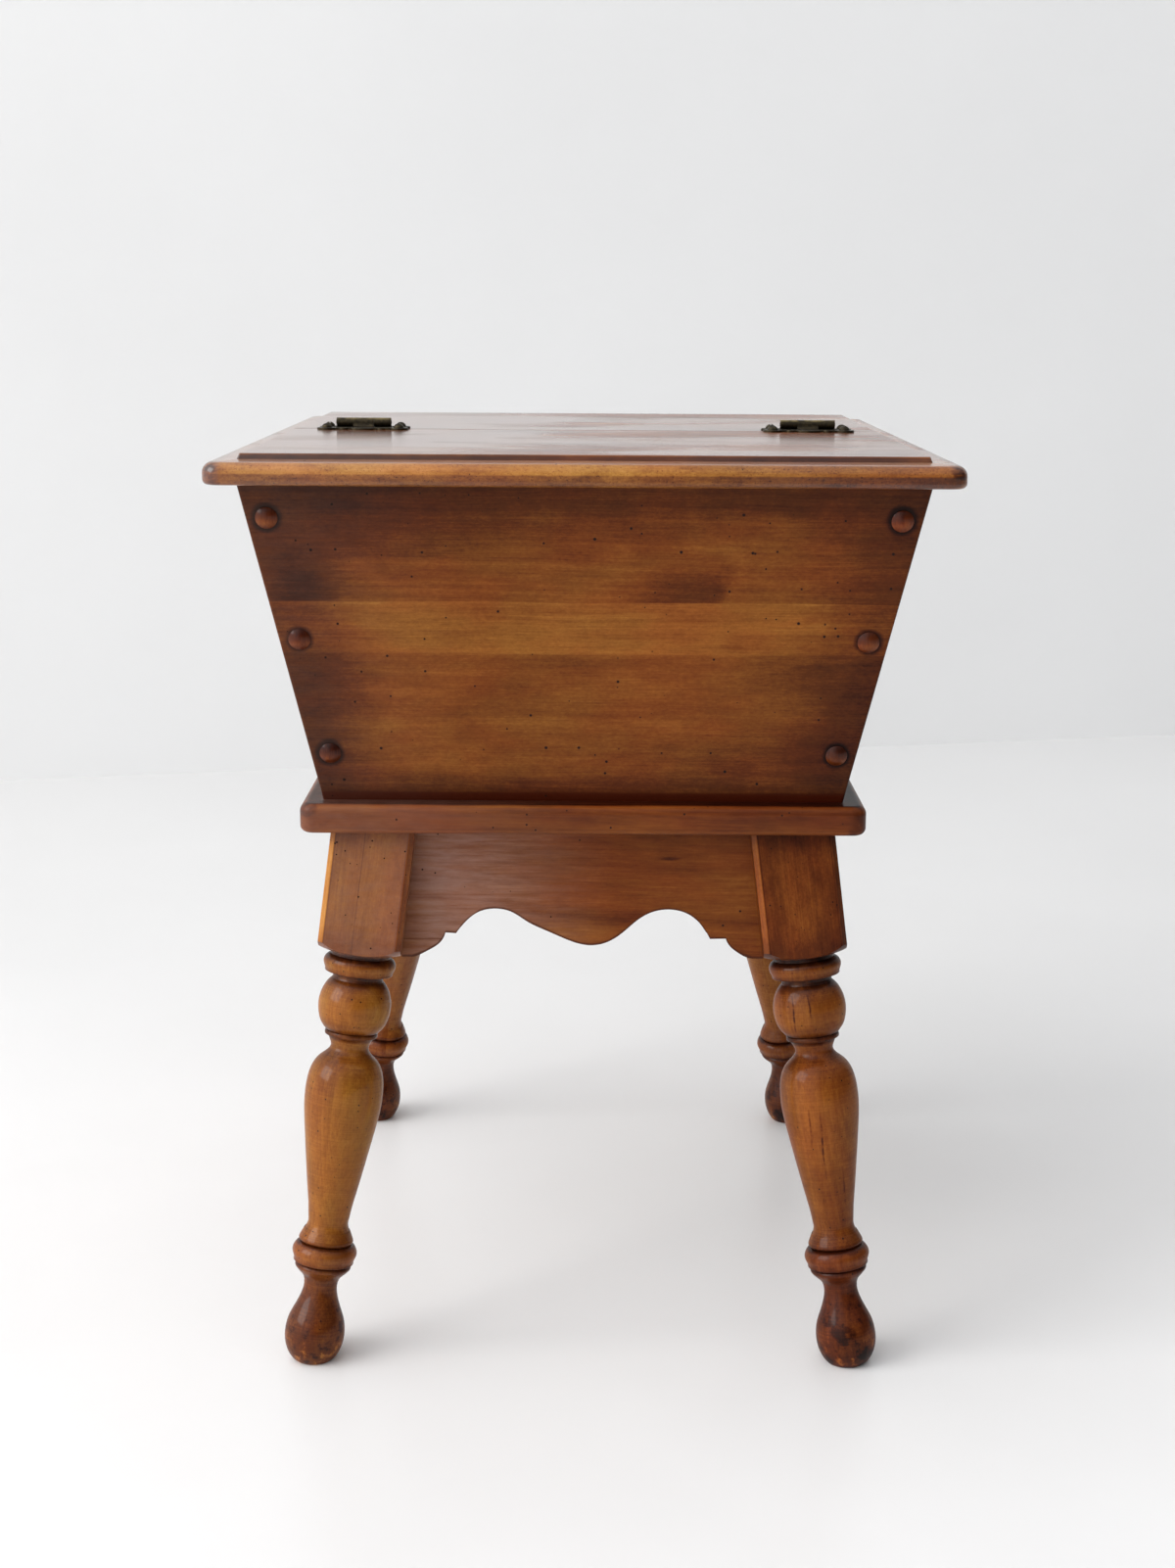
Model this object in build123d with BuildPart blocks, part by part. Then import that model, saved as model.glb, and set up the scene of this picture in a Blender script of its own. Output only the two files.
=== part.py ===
from build123d import *
import math
import os

# Sugar chest on a splayed, turned-leg frame.
# A flared box stands on a moulded base board; the front half of the top is a
# lid on two surface hinges, the rear half is fixed.
# Millimetres, +Z up, origin on the floor under the centre of the chest,
# front towards -Y.

os.makedirs("parts", exist_ok=True)

# ---------------------------------------------------------------- dimensions
stock = 19.0                 # board thickness, top, panels, aprons

# top (lid + fixed rear board)
top_w, top_d = 486.0, 550.4
top_z = 637.3                # upper face of the raised field
top_under = top_z - stock
top_corner = 12.0            # plan radius of the top's corners
field_inset = 22.3           # raised field, distance from the edge
field_step = 3.5             # height of the field above its border
field_slope = 1.5            # the field's side spreads by this much towards the border
border_fall = 0.9            # border slopes down towards the edge
edge_top_r = 7.2             # thumbnail edge, upper round
edge_low_r = 3.4             # thumbnail edge, lower round
field_w, field_d = top_w - 2 * field_inset, top_d - 2 * field_inset
seam_y = 12.0                # line of the hinge seam
seam_gap = 1.2

# box, flared on all four sides
base_top = 401.3
base_under = 381.0
flare = 0.2108               # horizontal run per unit of height
box_hx0, box_hy0 = 176.8, 212.4        # outer half sizes on the base board
alpha = math.atan(flare)
sa, ca = math.sin(alpha), math.cos(alpha)
wall = stock / ca            # horizontal thickness of a sloping panel


def hx(z):
    return box_hx0 + flare * (z - base_top)


def hy(z):
    return box_hy0 + flare * (z - base_top)


# base board
plate_w, plate_d = 383.6, 458.0
plate_corner = 10.0
plate_top_r, plate_low_r = 6.0, 4.5      # rounds along its edges

# legs: floor point and splay
foot_x, foot_y = 190.7, 234.5
splay_x, splay_y = 0.1253, 0.131
block = 57.15                # 2 1/4 in square
block_chamfer = 3.2

# aprons
apron_y = 196.8              # outer face of front and rear aprons
apron_x = 154.3              # outer face of side aprons

# hinges
hinge_x = 167.7
barrel_r = 3.3
barrel_len = 41.0
pin_r = 1.4
pin_clear = 0.05
axis_h = 5.1                 # pin axis above the top face
leaf_t = 1.6
ear_x, ear_v = 27.0, 9.5     # screw position: sideways, and away from the seam
mid_knuckle = 15.6
knuckle_gap = 0.15
dome_r, dome_h = 4.0, 3.2

# fasteners
screw_r = 2.1
head_r, head_h = 4.2, 2.6
button_r, button_h = 7.25, 3.7
stem_r, stem_l = 4.75, 6.5
bore_depth = 10.0
button_in = 13.6             # from the sloping edge of the panel
button_z = (596.3, 515.0, 435.3)

# ---------------------------------------------------------------- leg frames
axis_w = Vector(splay_x, splay_y, 1).normalized()      # front left leg, upwards
foot_fl = Vector(-foot_x, -foot_y, 0)
_rot_axis = Vector(0, 0, 1).cross(axis_w).normalized()
_rot_ang = math.degrees(math.acos(axis_w.Z))
dir_u = Vector(1, 0, 0).rotate(Axis((0, 0, 0), tuple(_rot_axis)), _rot_ang)
dir_v = Vector(0, 1, 0).rotate(Axis((0, 0, 0), tuple(_rot_axis)), _rot_ang)
half = block / 2

# the inner faces of the front left leg's block, where the aprons butt
face_front = Plane(origin=foot_fl + dir_u * half, z_dir=dir_u)   # takes the front apron
face_side = Plane(origin=foot_fl + dir_v * half, z_dir=dir_v)    # takes the left apron


def on_plane(plane, x=None, y=None, z=0.0):
    """Point of a plane with the given z and one more coordinate."""
    n, o = plane.z_dir, plane.origin
    if x is None:
        x = o.X - ((y - o.Y) * n.Y + (z - o.Z) * n.Z) / n.X
    else:
        y = o.Y - ((x - o.X) * n.X + (z - o.Z) * n.Z) / n.Y
    return Vector(x, y, z)


dowel_r, dowel_half = 4.75, 16.0
front_dowel_pts = [on_plane(face_front, y=-(apron_y - stock / 2), z=z) for z in (370.0, 322.0)]
side_dowel_pts = [on_plane(face_side, x=-(apron_x - stock / 2), z=z) for z in (366.0, 318.0)]

# corner brace, front left, in plan: a bar across the corner behind the leg
brace_sum = 257.0
brace_low = 331.0
brace_in = brace_sum - stock * math.sqrt(2)
in_x, in_y = apron_x - stock, apron_y - stock      # inner faces of the aprons
brace_line = brace_sum - stock * math.sqrt(0.5)    # middle of the bar
brace_mid = Vector(-((brace_sum - in_y) + in_x) / 2, -(in_y + (brace_sum - in_x)) / 2, 0)
diag = Vector(-math.sqrt(0.5), -math.sqrt(0.5), 0)  # towards the front left leg
bolt_z = 345.0
bolt_r = 3.4
bolt_face = Vector(brace_mid.X, brace_mid.Y, bolt_z) - diag * stock   # brace's inner face
bolt_plane = Plane(origin=bolt_face, z_dir=-diag)

# ---------------------------------------------------------------- cleats and their screws
cleat = 20.0
cleat_z0 = top_under - cleat
cleat_in_x, cleat_in_y = 183.0, 218.0
cleat_mid_z = top_under - cleat / 2
cleat_screw_l = 31.0
side_in_l = Plane(origin=(-(box_hx0 - wall), 0, base_top), z_dir=(-ca, 0, -sa))
side_in_r = Plane(origin=(box_hx0 - wall, 0, base_top), z_dir=(ca, 0, -sa))
front_in = Plane(origin=(0, -(box_hy0 - wall), base_top), z_dir=(0, -ca, -sa))
back_in = Plane(origin=(0, box_hy0 - wall, base_top), z_dir=(0, ca, -sa))

# screw heads sit in the face named by each plane, whose normal points to the driver
up_seats_rear = [Plane(origin=(x, 227.0, cleat_z0), z_dir=(0, 0, -1)) for x in (-120.0, 0.0, 120.0)]
out_seats_rear = [Plane(origin=(x, cleat_in_y, cleat_mid_z), z_dir=(0, -1, 0)) for x in (-160.0, -60.0, 60.0, 160.0)]
up_seats_l = [Plane(origin=(-192.5, y, cleat_z0), z_dir=(0, 0, -1)) for y in (45.0, 185.0)]
out_seats_l = [Plane(origin=(-cleat_in_x, y, cleat_mid_z), z_dir=(1, 0, 0)) for y in (80.0, 150.0)]
up_seats_r = [Plane(origin=(192.5, y, cleat_z0), z_dir=(0, 0, -1)) for y in (45.0, 185.0)]
out_seats_r = [Plane(origin=(cleat_in_x, y, cleat_mid_z), z_dir=(-1, 0, 0)) for y in (80.0, 150.0)]
cleat_seats = up_seats_rear + out_seats_rear + up_seats_l + out_seats_l + up_seats_r + out_seats_r

# ---------------------------------------------------------------- the top
with BuildPart() as lid_board:
    with BuildSketch(Plane.XY.offset(top_under)):
        RectangleRounded(top_w, top_d, top_corner)
    extrude(amount=stock - field_step - border_fall)
    fillet(lid_board.edges().group_by(Axis.Z)[-1], radius=edge_top_r)
    fillet(lid_board.edges().group_by(Axis.Z)[0], radius=edge_low_r)
    with BuildSketch(Plane.XY.offset(top_z - field_step - border_fall)):
        RectangleRounded(top_w - 2 * edge_top_r - 0.8, top_d - 2 * edge_top_r - 0.8, 4.0)
    with BuildSketch(Plane.XY.offset(top_z - field_step)):
        RectangleRounded(field_w + 2 * field_slope, field_d + 2 * field_slope, 1.2)
    loft()
    with BuildSketch(Plane.XY.offset(top_z - field_step)):
        RectangleRounded(field_w + 2 * field_slope, field_d + 2 * field_slope, 1.2)
    with BuildSketch(Plane.XY.offset(top_z)):
        RectangleRounded(field_w, field_d, 1.2)
    loft()
    fillet(lid_board.edges().group_by(Axis.Z)[-1], radius=0.8)
    split(bisect_by=Plane(origin=(0, seam_y - seam_gap / 2, 0), z_dir=(0, 1, 0)), keep=Keep.BOTTOM)
    fillet(
        lid_board.edges().filter_by(Axis.X).filter_by(
            lambda e: abs(e.center().Y - (seam_y - seam_gap / 2)) < 0.01 and e.center().Z > top_z - 0.1),
        radius=0.7)
    for sx in (-1, 1):
        for ex in (-ear_x, ear_x):
            with BuildSketch(Plane(origin=(sx * hinge_x + ex, seam_y - ear_v, top_z), z_dir=(0, 0, 1))):
                Circle(1.45)
    extrude(amount=-12.0, mode=Mode.SUBTRACT)

with BuildPart() as rear_top_board:
    with BuildSketch(Plane.XY.offset(top_under)):
        RectangleRounded(top_w, top_d, top_corner)
    extrude(amount=stock - field_step - border_fall)
    fillet(rear_top_board.edges().group_by(Axis.Z)[-1], radius=edge_top_r)
    fillet(rear_top_board.edges().group_by(Axis.Z)[0], radius=edge_low_r)
    with BuildSketch(Plane.XY.offset(top_z - field_step - border_fall)):
        RectangleRounded(top_w - 2 * edge_top_r - 0.8, top_d - 2 * edge_top_r - 0.8, 4.0)
    with BuildSketch(Plane.XY.offset(top_z - field_step)):
        RectangleRounded(field_w + 2 * field_slope, field_d + 2 * field_slope, 1.2)
    loft()
    with BuildSketch(Plane.XY.offset(top_z - field_step)):
        RectangleRounded(field_w + 2 * field_slope, field_d + 2 * field_slope, 1.2)
    with BuildSketch(Plane.XY.offset(top_z)):
        RectangleRounded(field_w, field_d, 1.2)
    loft()
    fillet(rear_top_board.edges().group_by(Axis.Z)[-1], radius=0.8)
    split(bisect_by=Plane(origin=(0, seam_y + seam_gap / 2, 0), z_dir=(0, 1, 0)), keep=Keep.TOP)
    fillet(
        rear_top_board.edges().filter_by(Axis.X).filter_by(
            lambda e: abs(e.center().Y - (seam_y + seam_gap / 2)) < 0.01 and e.center().Z > top_z - 0.1),
        radius=0.7)
    for sx in (-1, 1):
        for ex in (-ear_x, ear_x):
            with BuildSketch(Plane(origin=(sx * hinge_x + ex, seam_y + ear_v, top_z), z_dir=(0, 0, 1))):
                Circle(1.45)
    extrude(amount=-12.0, mode=Mode.SUBTRACT)
    # points of the upright cleat screws
    for seat in up_seats_rear + up_seats_l + up_seats_r:
        with BuildSketch(seat):
            Circle(screw_r)
    extrude(amount=-cleat_screw_l, mode=Mode.SUBTRACT)

# ---------------------------------------------------------------- cleats under the fixed board
with BuildPart() as top_cleat_rear:
    with BuildSketch(Plane.YZ):
        with BuildLine():
            Polyline((cleat_in_y, cleat_z0), (hy(cleat_z0) - wall, cleat_z0),
                     (hy(top_under) - wall, top_under), (cleat_in_y, top_under), close=True)
        make_face()
    extrude(amount=260, both=True)
    split(bisect_by=side_in_l, keep=Keep.BOTTOM)
    split(bisect_by=side_in_r, keep=Keep.BOTTOM)
    for seat in up_seats_rear + out_seats_rear:
        with BuildSketch(seat):
            Circle(screw_r)
    extrude(amount=-40, mode=Mode.SUBTRACT)
    for seat in up_seats_rear + out_seats_rear:
        with BuildSketch(seat):
            Circle(head_r)
    extrude(amount=-head_h, mode=Mode.SUBTRACT)

with BuildPart() as top_cleat_left:
    with BuildSketch(Plane.XZ.offset(-13.5)):
        with BuildLine():
            Polyline((-cleat_in_x, cleat_z0), (-(hx(cleat_z0) - wall), cleat_z0),
                     (-(hx(top_under) - wall), top_under), (-cleat_in_x, top_under), close=True)
        make_face()
    extrude(amount=-(cleat_in_y - 13.5))
    for seat in up_seats_l + out_seats_l:
        with BuildSketch(seat):
            Circle(screw_r)
    extrude(amount=-40, mode=Mode.SUBTRACT)
    for seat in up_seats_l + out_seats_l:
        with BuildSketch(seat):
            Circle(head_r)
    extrude(amount=-head_h, mode=Mode.SUBTRACT)

with BuildPart() as top_cleat_right:
    mirror(top_cleat_left.part, about=Plane.YZ)

with BuildPart() as cleat_screws:
    for seat in cleat_seats:
        with BuildSketch(seat):
            Circle(screw_r)
    extrude(amount=-cleat_screw_l)
    for seat in cleat_seats:
        with BuildSketch(seat):
            Circle(head_r)
    extrude(amount=-head_h)
    for seat in cleat_seats:
        with BuildSketch(seat):
            Rectangle(0.9, 3.6)
            Rectangle(3.6, 0.9)
    extrude(amount=-1.2, mode=Mode.SUBTRACT)

# ---------------------------------------------------------------- box panels
# seats of the panel screws: on the sloping faces, normal pointing out of the box
front_seats = []
for z in button_z:
    for sx in (-1, 1):
        front_seats.append(Plane(origin=(sx * (hx(z) - button_in), -hy(z), z), x_dir=(1, 0, 0), z_dir=(0, -ca, -sa)))
back_seats = []
for z in button_z:
    for sx in (-1, 1):
        back_seats.append(Plane(origin=(sx * (hx(z) - button_in), hy(z), z), x_dir=(-1, 0, 0), z_dir=(0, ca, -sa)))
panel_screw_l = 34.0

# screws from under the base board, tilted to follow the panels
plate_head_z = base_under + 3.0
mid_x, mid_y = box_hx0 - wall / 2, box_hy0 - wall / 2
drop = (base_top - plate_head_z) * flare
plate_seats = []
for sx in (-1, 1):
    for y in (-95.0, 95.0):
        plate_seats.append(Plane(origin=(sx * (mid_x - drop), y, plate_head_z), z_dir=(-sx * sa, 0, -ca)))
for sy in (-1, 1):
    for x in (-75.0, 75.0):
        plate_seats.append(Plane(origin=(x, sy * (mid_y - drop), plate_head_z), z_dir=(0, -sy * sa, -ca)))
plate_screw_l = 42.0
hole_depth = 42.0

side_out_l = Plane(origin=(-box_hx0, 0, base_top), z_dir=(-ca, 0, -sa))
side_out_r = Plane(origin=(box_hx0, 0, base_top), z_dir=(ca, 0, -sa))
z_mid = (base_top + top_under) / 2

with BuildPart() as front_panel:
    with BuildSketch(Plane.YZ):
        with BuildLine():
            Polyline((-hy(base_top), base_top), (-hy(base_top) + wall, base_top),
                     (-hy(top_under) + wall, top_under), (-hy(top_under), top_under), close=True)
        make_face()
    extrude(amount=300, both=True)
    split(bisect_by=side_out_l, keep=Keep.BOTTOM)
    split(bisect_by=side_out_r, keep=Keep.BOTTOM)
    fillet(front_panel.edges().filter_by(
        lambda e: abs(abs(e.center().X) - hx(z_mid)) < 2 and abs(e.center().Y + hy(z_mid)) < 2), radius=1.6)
    for seat in front_seats:
        with BuildSketch(seat):
            Circle(stem_r)
    extrude(amount=-bore_depth, mode=Mode.SUBTRACT)
    for seat in front_seats + plate_seats:
        with BuildSketch(seat):
            Circle(screw_r)
    extrude(amount=-hole_depth, mode=Mode.SUBTRACT)

with BuildPart() as back_panel:
    with BuildSketch(Plane.YZ):
        with BuildLine():
            Polyline((hy(base_top), base_top), (hy(base_top) - wall, base_top),
                     (hy(top_under) - wall, top_under), (hy(top_under), top_under), close=True)
        make_face()
    extrude(amount=300, both=True)
    split(bisect_by=side_out_l, keep=Keep.BOTTOM)
    split(bisect_by=side_out_r, keep=Keep.BOTTOM)
    fillet(back_panel.edges().filter_by(
        lambda e: abs(abs(e.center().X) - hx(z_mid)) < 2 and abs(e.center().Y - hy(z_mid)) < 2), radius=1.6)
    for seat in back_seats:
        with BuildSketch(seat):
            Circle(stem_r)
    extrude(amount=-bore_depth, mode=Mode.SUBTRACT)
    for seat in back_seats + plate_seats:
        with BuildSketch(seat):
            Circle(screw_r)
    extrude(amount=-hole_depth, mode=Mode.SUBTRACT)
    for seat in out_seats_rear:
        with BuildSketch(seat):
            Circle(screw_r)
    extrude(amount=-cleat_screw_l, mode=Mode.SUBTRACT)

with BuildPart() as left_panel:
    with BuildSketch(Plane.XZ):
        with BuildLine():
            Polyline((-hx(base_top), base_top), (-hx(base_top) + wall, base_top),
                     (-hx(top_under) + wall, top_under), (-hx(top_under), top_under), close=True)
        make_face()
    extrude(amount=300, both=True)
    split(bisect_by=front_in, keep=Keep.BOTTOM)
    split(bisect_by=back_in, keep=Keep.BOTTOM)
    for seat in front_seats + back_seats + plate_seats:
        with BuildSketch(seat):
            Circle(screw_r)
    extrude(amount=-hole_depth, mode=Mode.SUBTRACT)
    for seat in out_seats_l:
        with BuildSketch(seat):
            Circle(screw_r)
    extrude(amount=-cleat_screw_l, mode=Mode.SUBTRACT)

with BuildPart() as right_panel:
    mirror(left_panel.part, about=Plane.YZ)

with BuildPart() as panel_screws:
    for seat in front_seats + back_seats:
        with BuildSketch(seat.offset(-(bore_depth - head_h))):
            Circle(screw_r)
    extrude(amount=-panel_screw_l)
    for seat in front_seats + back_seats:
        with BuildSketch(seat.offset(-(bore_depth - head_h))):
            Circle(head_r)
    extrude(amount=-head_h)
    for seat in front_seats + back_seats:
        with BuildSketch(seat.offset(-(bore_depth - head_h))):
            Rectangle(0.9, 3.6)
            Rectangle(3.6, 0.9)
    extrude(amount=-1.2, mode=Mode.SUBTRACT)

# turned wooden buttons that close the screw holes: low dome on a stem
cap_r = (button_r ** 2 + (button_h - 0.7) ** 2) / (2 * (button_h - 0.7))
with BuildPart() as peg_buttons:
    for seat in front_seats + back_seats:
        with BuildSketch(Plane(origin=seat.origin, x_dir=seat.x_dir, z_dir=-seat.y_dir)):
            with BuildLine():
                Line((0, -stem_l), (stem_r - 0.6, -stem_l))
                Line((stem_r - 0.6, -stem_l), (stem_r, -stem_l + 0.6))
                Line((stem_r, -stem_l + 0.6), (stem_r, 0))
                Line((stem_r, 0), (button_r - 0.4, 0))
                Line((button_r - 0.4, 0), (button_r, 0.7))
                RadiusArc((button_r, 0.7), (0, button_h), -cap_r)
                Line((0, button_h), (0, -stem_l))
            make_face()
        revolve(axis=Axis(seat.origin, seat.z_dir))

# ---------------------------------------------------------------- base board
# frame screws stand in the corner braces and enter the base board from below
brace_pts = [(80.0, brace_line - 80.0), (brace_line - 80.0 - (in_y - in_x), 80.0 + (in_y - in_x))]
frame_head_z = 361.0
frame_seats = [Plane(origin=(sx * x, sy * y, frame_head_z), z_dir=(0, 0, -1))
               for sx in (-1, 1) for sy in (-1, 1) for (x, y) in brace_pts]
frame_screw_l = 31.0

with BuildPart() as base_board:
    with BuildSketch(Plane.XY.offset(base_under)):
        RectangleRounded(plate_w, plate_d, plate_corner)
    extrude(amount=base_top - base_under)
    fillet(base_board.edges().group_by(Axis.Z)[-1], radius=plate_top_r)
    fillet(base_board.edges().group_by(Axis.Z)[0], radius=plate_low_r)
    for seat in plate_seats:
        with BuildSketch(seat):
            Circle(screw_r)
    extrude(amount=-plate_screw_l, mode=Mode.SUBTRACT)
    for seat in plate_seats:
        with BuildSketch(seat.offset(-head_h)):
            Circle(head_r)
    extrude(amount=12.0, mode=Mode.SUBTRACT)
    for seat in frame_seats:
        with BuildSketch(seat):
            Circle(screw_r)
    extrude(amount=-frame_screw_l, mode=Mode.SUBTRACT)

with BuildPart() as plate_screws:
    for seat in plate_seats:
        with BuildSketch(seat):
            Circle(screw_r)
    extrude(amount=-plate_screw_l)
    for seat in plate_seats:
        with BuildSketch(seat):
            Circle(head_r)
    extrude(amount=-head_h)
    for seat in plate_seats:
        with BuildSketch(seat):
            Rectangle(0.9, 3.6)
            Rectangle(3.6, 0.9)
    extrude(amount=-1.2, mode=Mode.SUBTRACT)

with BuildPart() as frame_screws:
    for seat in frame_seats:
        with BuildSketch(seat):
            Circle(screw_r)
    extrude(amount=-frame_screw_l)
    for seat in frame_seats:
        with BuildSketch(seat):
            Circle(head_r)
    extrude(amount=-head_h)
    for seat in frame_seats:
        with BuildSketch(seat):
            Rectangle(0.9, 3.6)
            Rectangle(3.6, 0.9)
    extrude(amount=-1.2, mode=Mode.SUBTRACT)

# ---------------------------------------------------------------- legs
turn_plane = Plane(origin=foot_fl, x_dir=dir_u, z_dir=dir_u.cross(axis_w))
leg_axis = Axis(foot_fl, axis_w)

with BuildPart() as front_left_leg:
    # square block with chamfered arrises
    with BuildSketch(Plane(origin=foot_fl + axis_w * 292.0, x_dir=dir_u, z_dir=axis_w)) as block_sketch:
        Rectangle(block, block)
        chamfer(block_sketch.vertices(), length=block_chamfer)
    extrude(amount=110.0)
    # shoulder where the square meets the turning
    with BuildSketch(turn_plane):
        with BuildLine():
            Line((0, 294.0), (22.5, 294.0))
            Spline((22.5, 294.0), (27.5, 295.0), (33.0, 297.2), (38.5, 301.8), (42.0, 307.2))
            Line((42.0, 307.2), (46.0, 320.0))
            Line((46.0, 320.0), (46.0, 405.0))
            Line((46.0, 405.0), (0, 405.0))
            Line((0, 405.0), (0, 294.0))
        make_face()
    revolve(axis=leg_axis, mode=Mode.INTERSECT)
    # turning, from the block down: neck, torus, neck, ball, fillet, cove, urn,
    # long taper, collar of lip-ring-lip, cove, and bulb foot
    with BuildSketch(turn_plane):
        with BuildLine():
            Line((0, 297.0), (21.0, 297.0))
            Line((21.0, 297.0), (21.0, 291.0))
            Spline((21.0, 291.0), (24.2, 288.7), (25.2, 284.8), (23.6, 280.0), (19.6, 278.3),
                   tangents=((1, -0.3), (-1, -0.05)))
            Line((19.6, 278.3), (18.1, 277.5))
            Spline((18.1, 277.5), (17.5, 275.9), (18.1, 273.9), tangents=((-0.6, -1), (0.6, -1)))
            Spline((18.1, 273.9), (23.6, 265.5), (25.4, 256.0), (23.8, 245.9), (18.4, 237.6),
                   tangents=((1, -0.85), (-1, -1.05)))
            Line((18.4, 237.6), (17.2, 237.3))
            Spline((17.2, 237.3), (18.5, 235.5), (17.4, 233.7), tangents=((1, -0.2), (-1, -0.2)))
            Line((17.4, 233.7), (16.2, 233.3))
            Spline((16.2, 233.3), (14.1, 229.4), (13.2, 225.9), (15.0, 222.3), (20.4, 217.3), (24.2, 211.4),
                   (26.4, 203.6), (27.2, 194.0), (26.9, 183.5), (25.3, 171.0), (23.2, 157.5), (20.5, 140.8),
                   (17.4, 122.5), (15.1, 108.6), (14.3, 101.6), (14.9, 95.9), (17.0, 91.3), (18.9, 88.2),
                   tangents=((-0.75, -1), (0.45, -1)))
            Spline((18.9, 88.2), (19.2, 86.9), (18.5, 85.6), tangents=((0.2, -1), (-0.8, -1)))
            Line((18.5, 85.6), (17.4, 84.6))
            Spline((17.4, 84.6), (21.1, 82.6), (22.7, 77.3), (21.1, 72.1), (17.4, 70.3),
                   tangents=((1, 0), (-1, 0)))
            Line((17.4, 70.3), (18.9, 69.4))
            Spline((18.9, 69.4), (19.7, 68.1), (19.3, 66.5), tangents=((0.8, -1), (-0.5, -1)))
            Spline((19.3, 66.5), (16.4, 63.3), (13.0, 59.4), (11.7, 54.2), (13.2, 45.2), (16.2, 37.4),
                   (19.4, 29.6), (21.0, 20.6), (20.3, 11.6), (17.6, 4.6), (13.4, -0.6), (8.0, -3.4),
                   tangents=((-0.7, -1), (-1, -0.35)))
            Line((8.0, -3.4), (0, -5.4))
            Line((0, -5.4), (0, 297.0))
        make_face()
    revolve(axis=leg_axis)
    # flat top against the base board, flat foot on the floor
    split(bisect_by=Plane.XY.offset(base_under), keep=Keep.BOTTOM)
    split(bisect_by=Plane.XY, keep=Keep.TOP)
    # dowel holes for the two aprons
    for p in front_dowel_pts:
        with BuildSketch(Plane(origin=p, z_dir=dir_u)):
            Circle(dowel_r)
    extrude(amount=-dowel_half - 0.5, mode=Mode.SUBTRACT)
    for p in side_dowel_pts:
        with BuildSketch(Plane(origin=p, z_dir=dir_v)):
            Circle(dowel_r)
    extrude(amount=-dowel_half - 0.5, mode=Mode.SUBTRACT)
    # hanger bolt, into the inner arris
    with BuildSketch(bolt_plane):
        Circle(bolt_r)
    extrude(amount=-64.0, mode=Mode.SUBTRACT)

with BuildPart() as front_right_leg:
    mirror(front_left_leg.part, about=Plane.YZ)
with BuildPart() as rear_left_leg:
    mirror(front_left_leg.part, about=Plane.XZ)
with BuildPart() as rear_right_leg:
    mirror(rear_left_leg.part, about=Plane.YZ)

# ---------------------------------------------------------------- aprons
face_front_r = Plane(origin=(-face_front.origin.X, face_front.origin.Y, face_front.origin.Z),
                     z_dir=(-dir_u.X, dir_u.Y, dir_u.Z))
face_side_r = Plane(origin=(face_side.origin.X, -face_side.origin.Y, face_side.origin.Z),
                    z_dir=(dir_v.X, -dir_v.Y, dir_v.Z))
brace_screw_z = (346.0, 368.0)
brace_screw_x = 64.0                     # along the front apron
brace_screw_y = brace_screw_x + in_y - in_x   # along the side apron
brace_screw_l = 23.0

# scalloped lower edge of the front apron, left to right; hand sawn, so its two
# halves differ a little
with BuildPart() as front_apron:
    with BuildSketch(Plane.XZ.offset(apron_y - stock)):
        with BuildLine():
            Line((-150, base_under), (-150, 285.3))
            Line((-150, 285.3), (-119.0, 285.3))
            Spline((-119.0, 285.3), (-109.5, 289.0), (-101.0, 294.2), (-95.5, 303.0),
                   tangents=((1, 0.1), (0.25, 1)))
            Line((-95.5, 303.0), (-88.1, 302.5))
            Spline((-88.1, 302.5), (-84.4, 307.5), (-80.2, 312.2), (-72.0, 318.2), (-61.1, 320.5),
                   (-49.5, 318.2), (-38.5, 311.2), (-23.5, 304.0), (-9.0, 297.6), (5.9, 294.3),
                   (18.5, 297.2), (30.0, 305.4), (38.6, 313.0), (48.5, 318.6), (60.2, 320.5),
                   (67.6, 319.5), (74.4, 316.7), (78.8, 313.5), (82.8, 309.1), (86.2, 304.1), (88.9, 299.4),
                   tangents=((0.6, 1), (0.5, -1)))
            Line((88.9, 299.4), (99.9, 299.6))
            Spline((99.9, 299.6), (103.2, 293.8), (109.4, 288.9), (118.5, 285.3),
                   tangents=((0.3, -1), (1, -0.12)))
            Line((118.5, 285.3), (150, 285.3))
            Line((150, 285.3), (150, base_under))
            Line((150, base_under), (-150, base_under))
        make_face()
    extrude(amount=stock)
    split(bisect_by=face_front, keep=Keep.TOP)
    split(bisect_by=face_front_r, keep=Keep.TOP)
    for p in front_dowel_pts:
        with BuildSketch(Plane(origin=p, z_dir=dir_u)):
            Circle(dowel_r)
        with BuildSketch(Plane(origin=(-p.X, p.Y, p.Z), z_dir=(-dir_u.X, dir_u.Y, dir_u.Z))):
            Circle(dowel_r)
    extrude(amount=dowel_half + 0.5, mode=Mode.SUBTRACT)
    for sx in (-1, 1):
        for z in brace_screw_z:
            with BuildSketch(Plane(origin=(sx * brace_screw_x, -in_y, z), z_dir=(0, 1, 0))):
                Circle(screw_r)
    extrude(amount=-13.2, mode=Mode.SUBTRACT)

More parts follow.
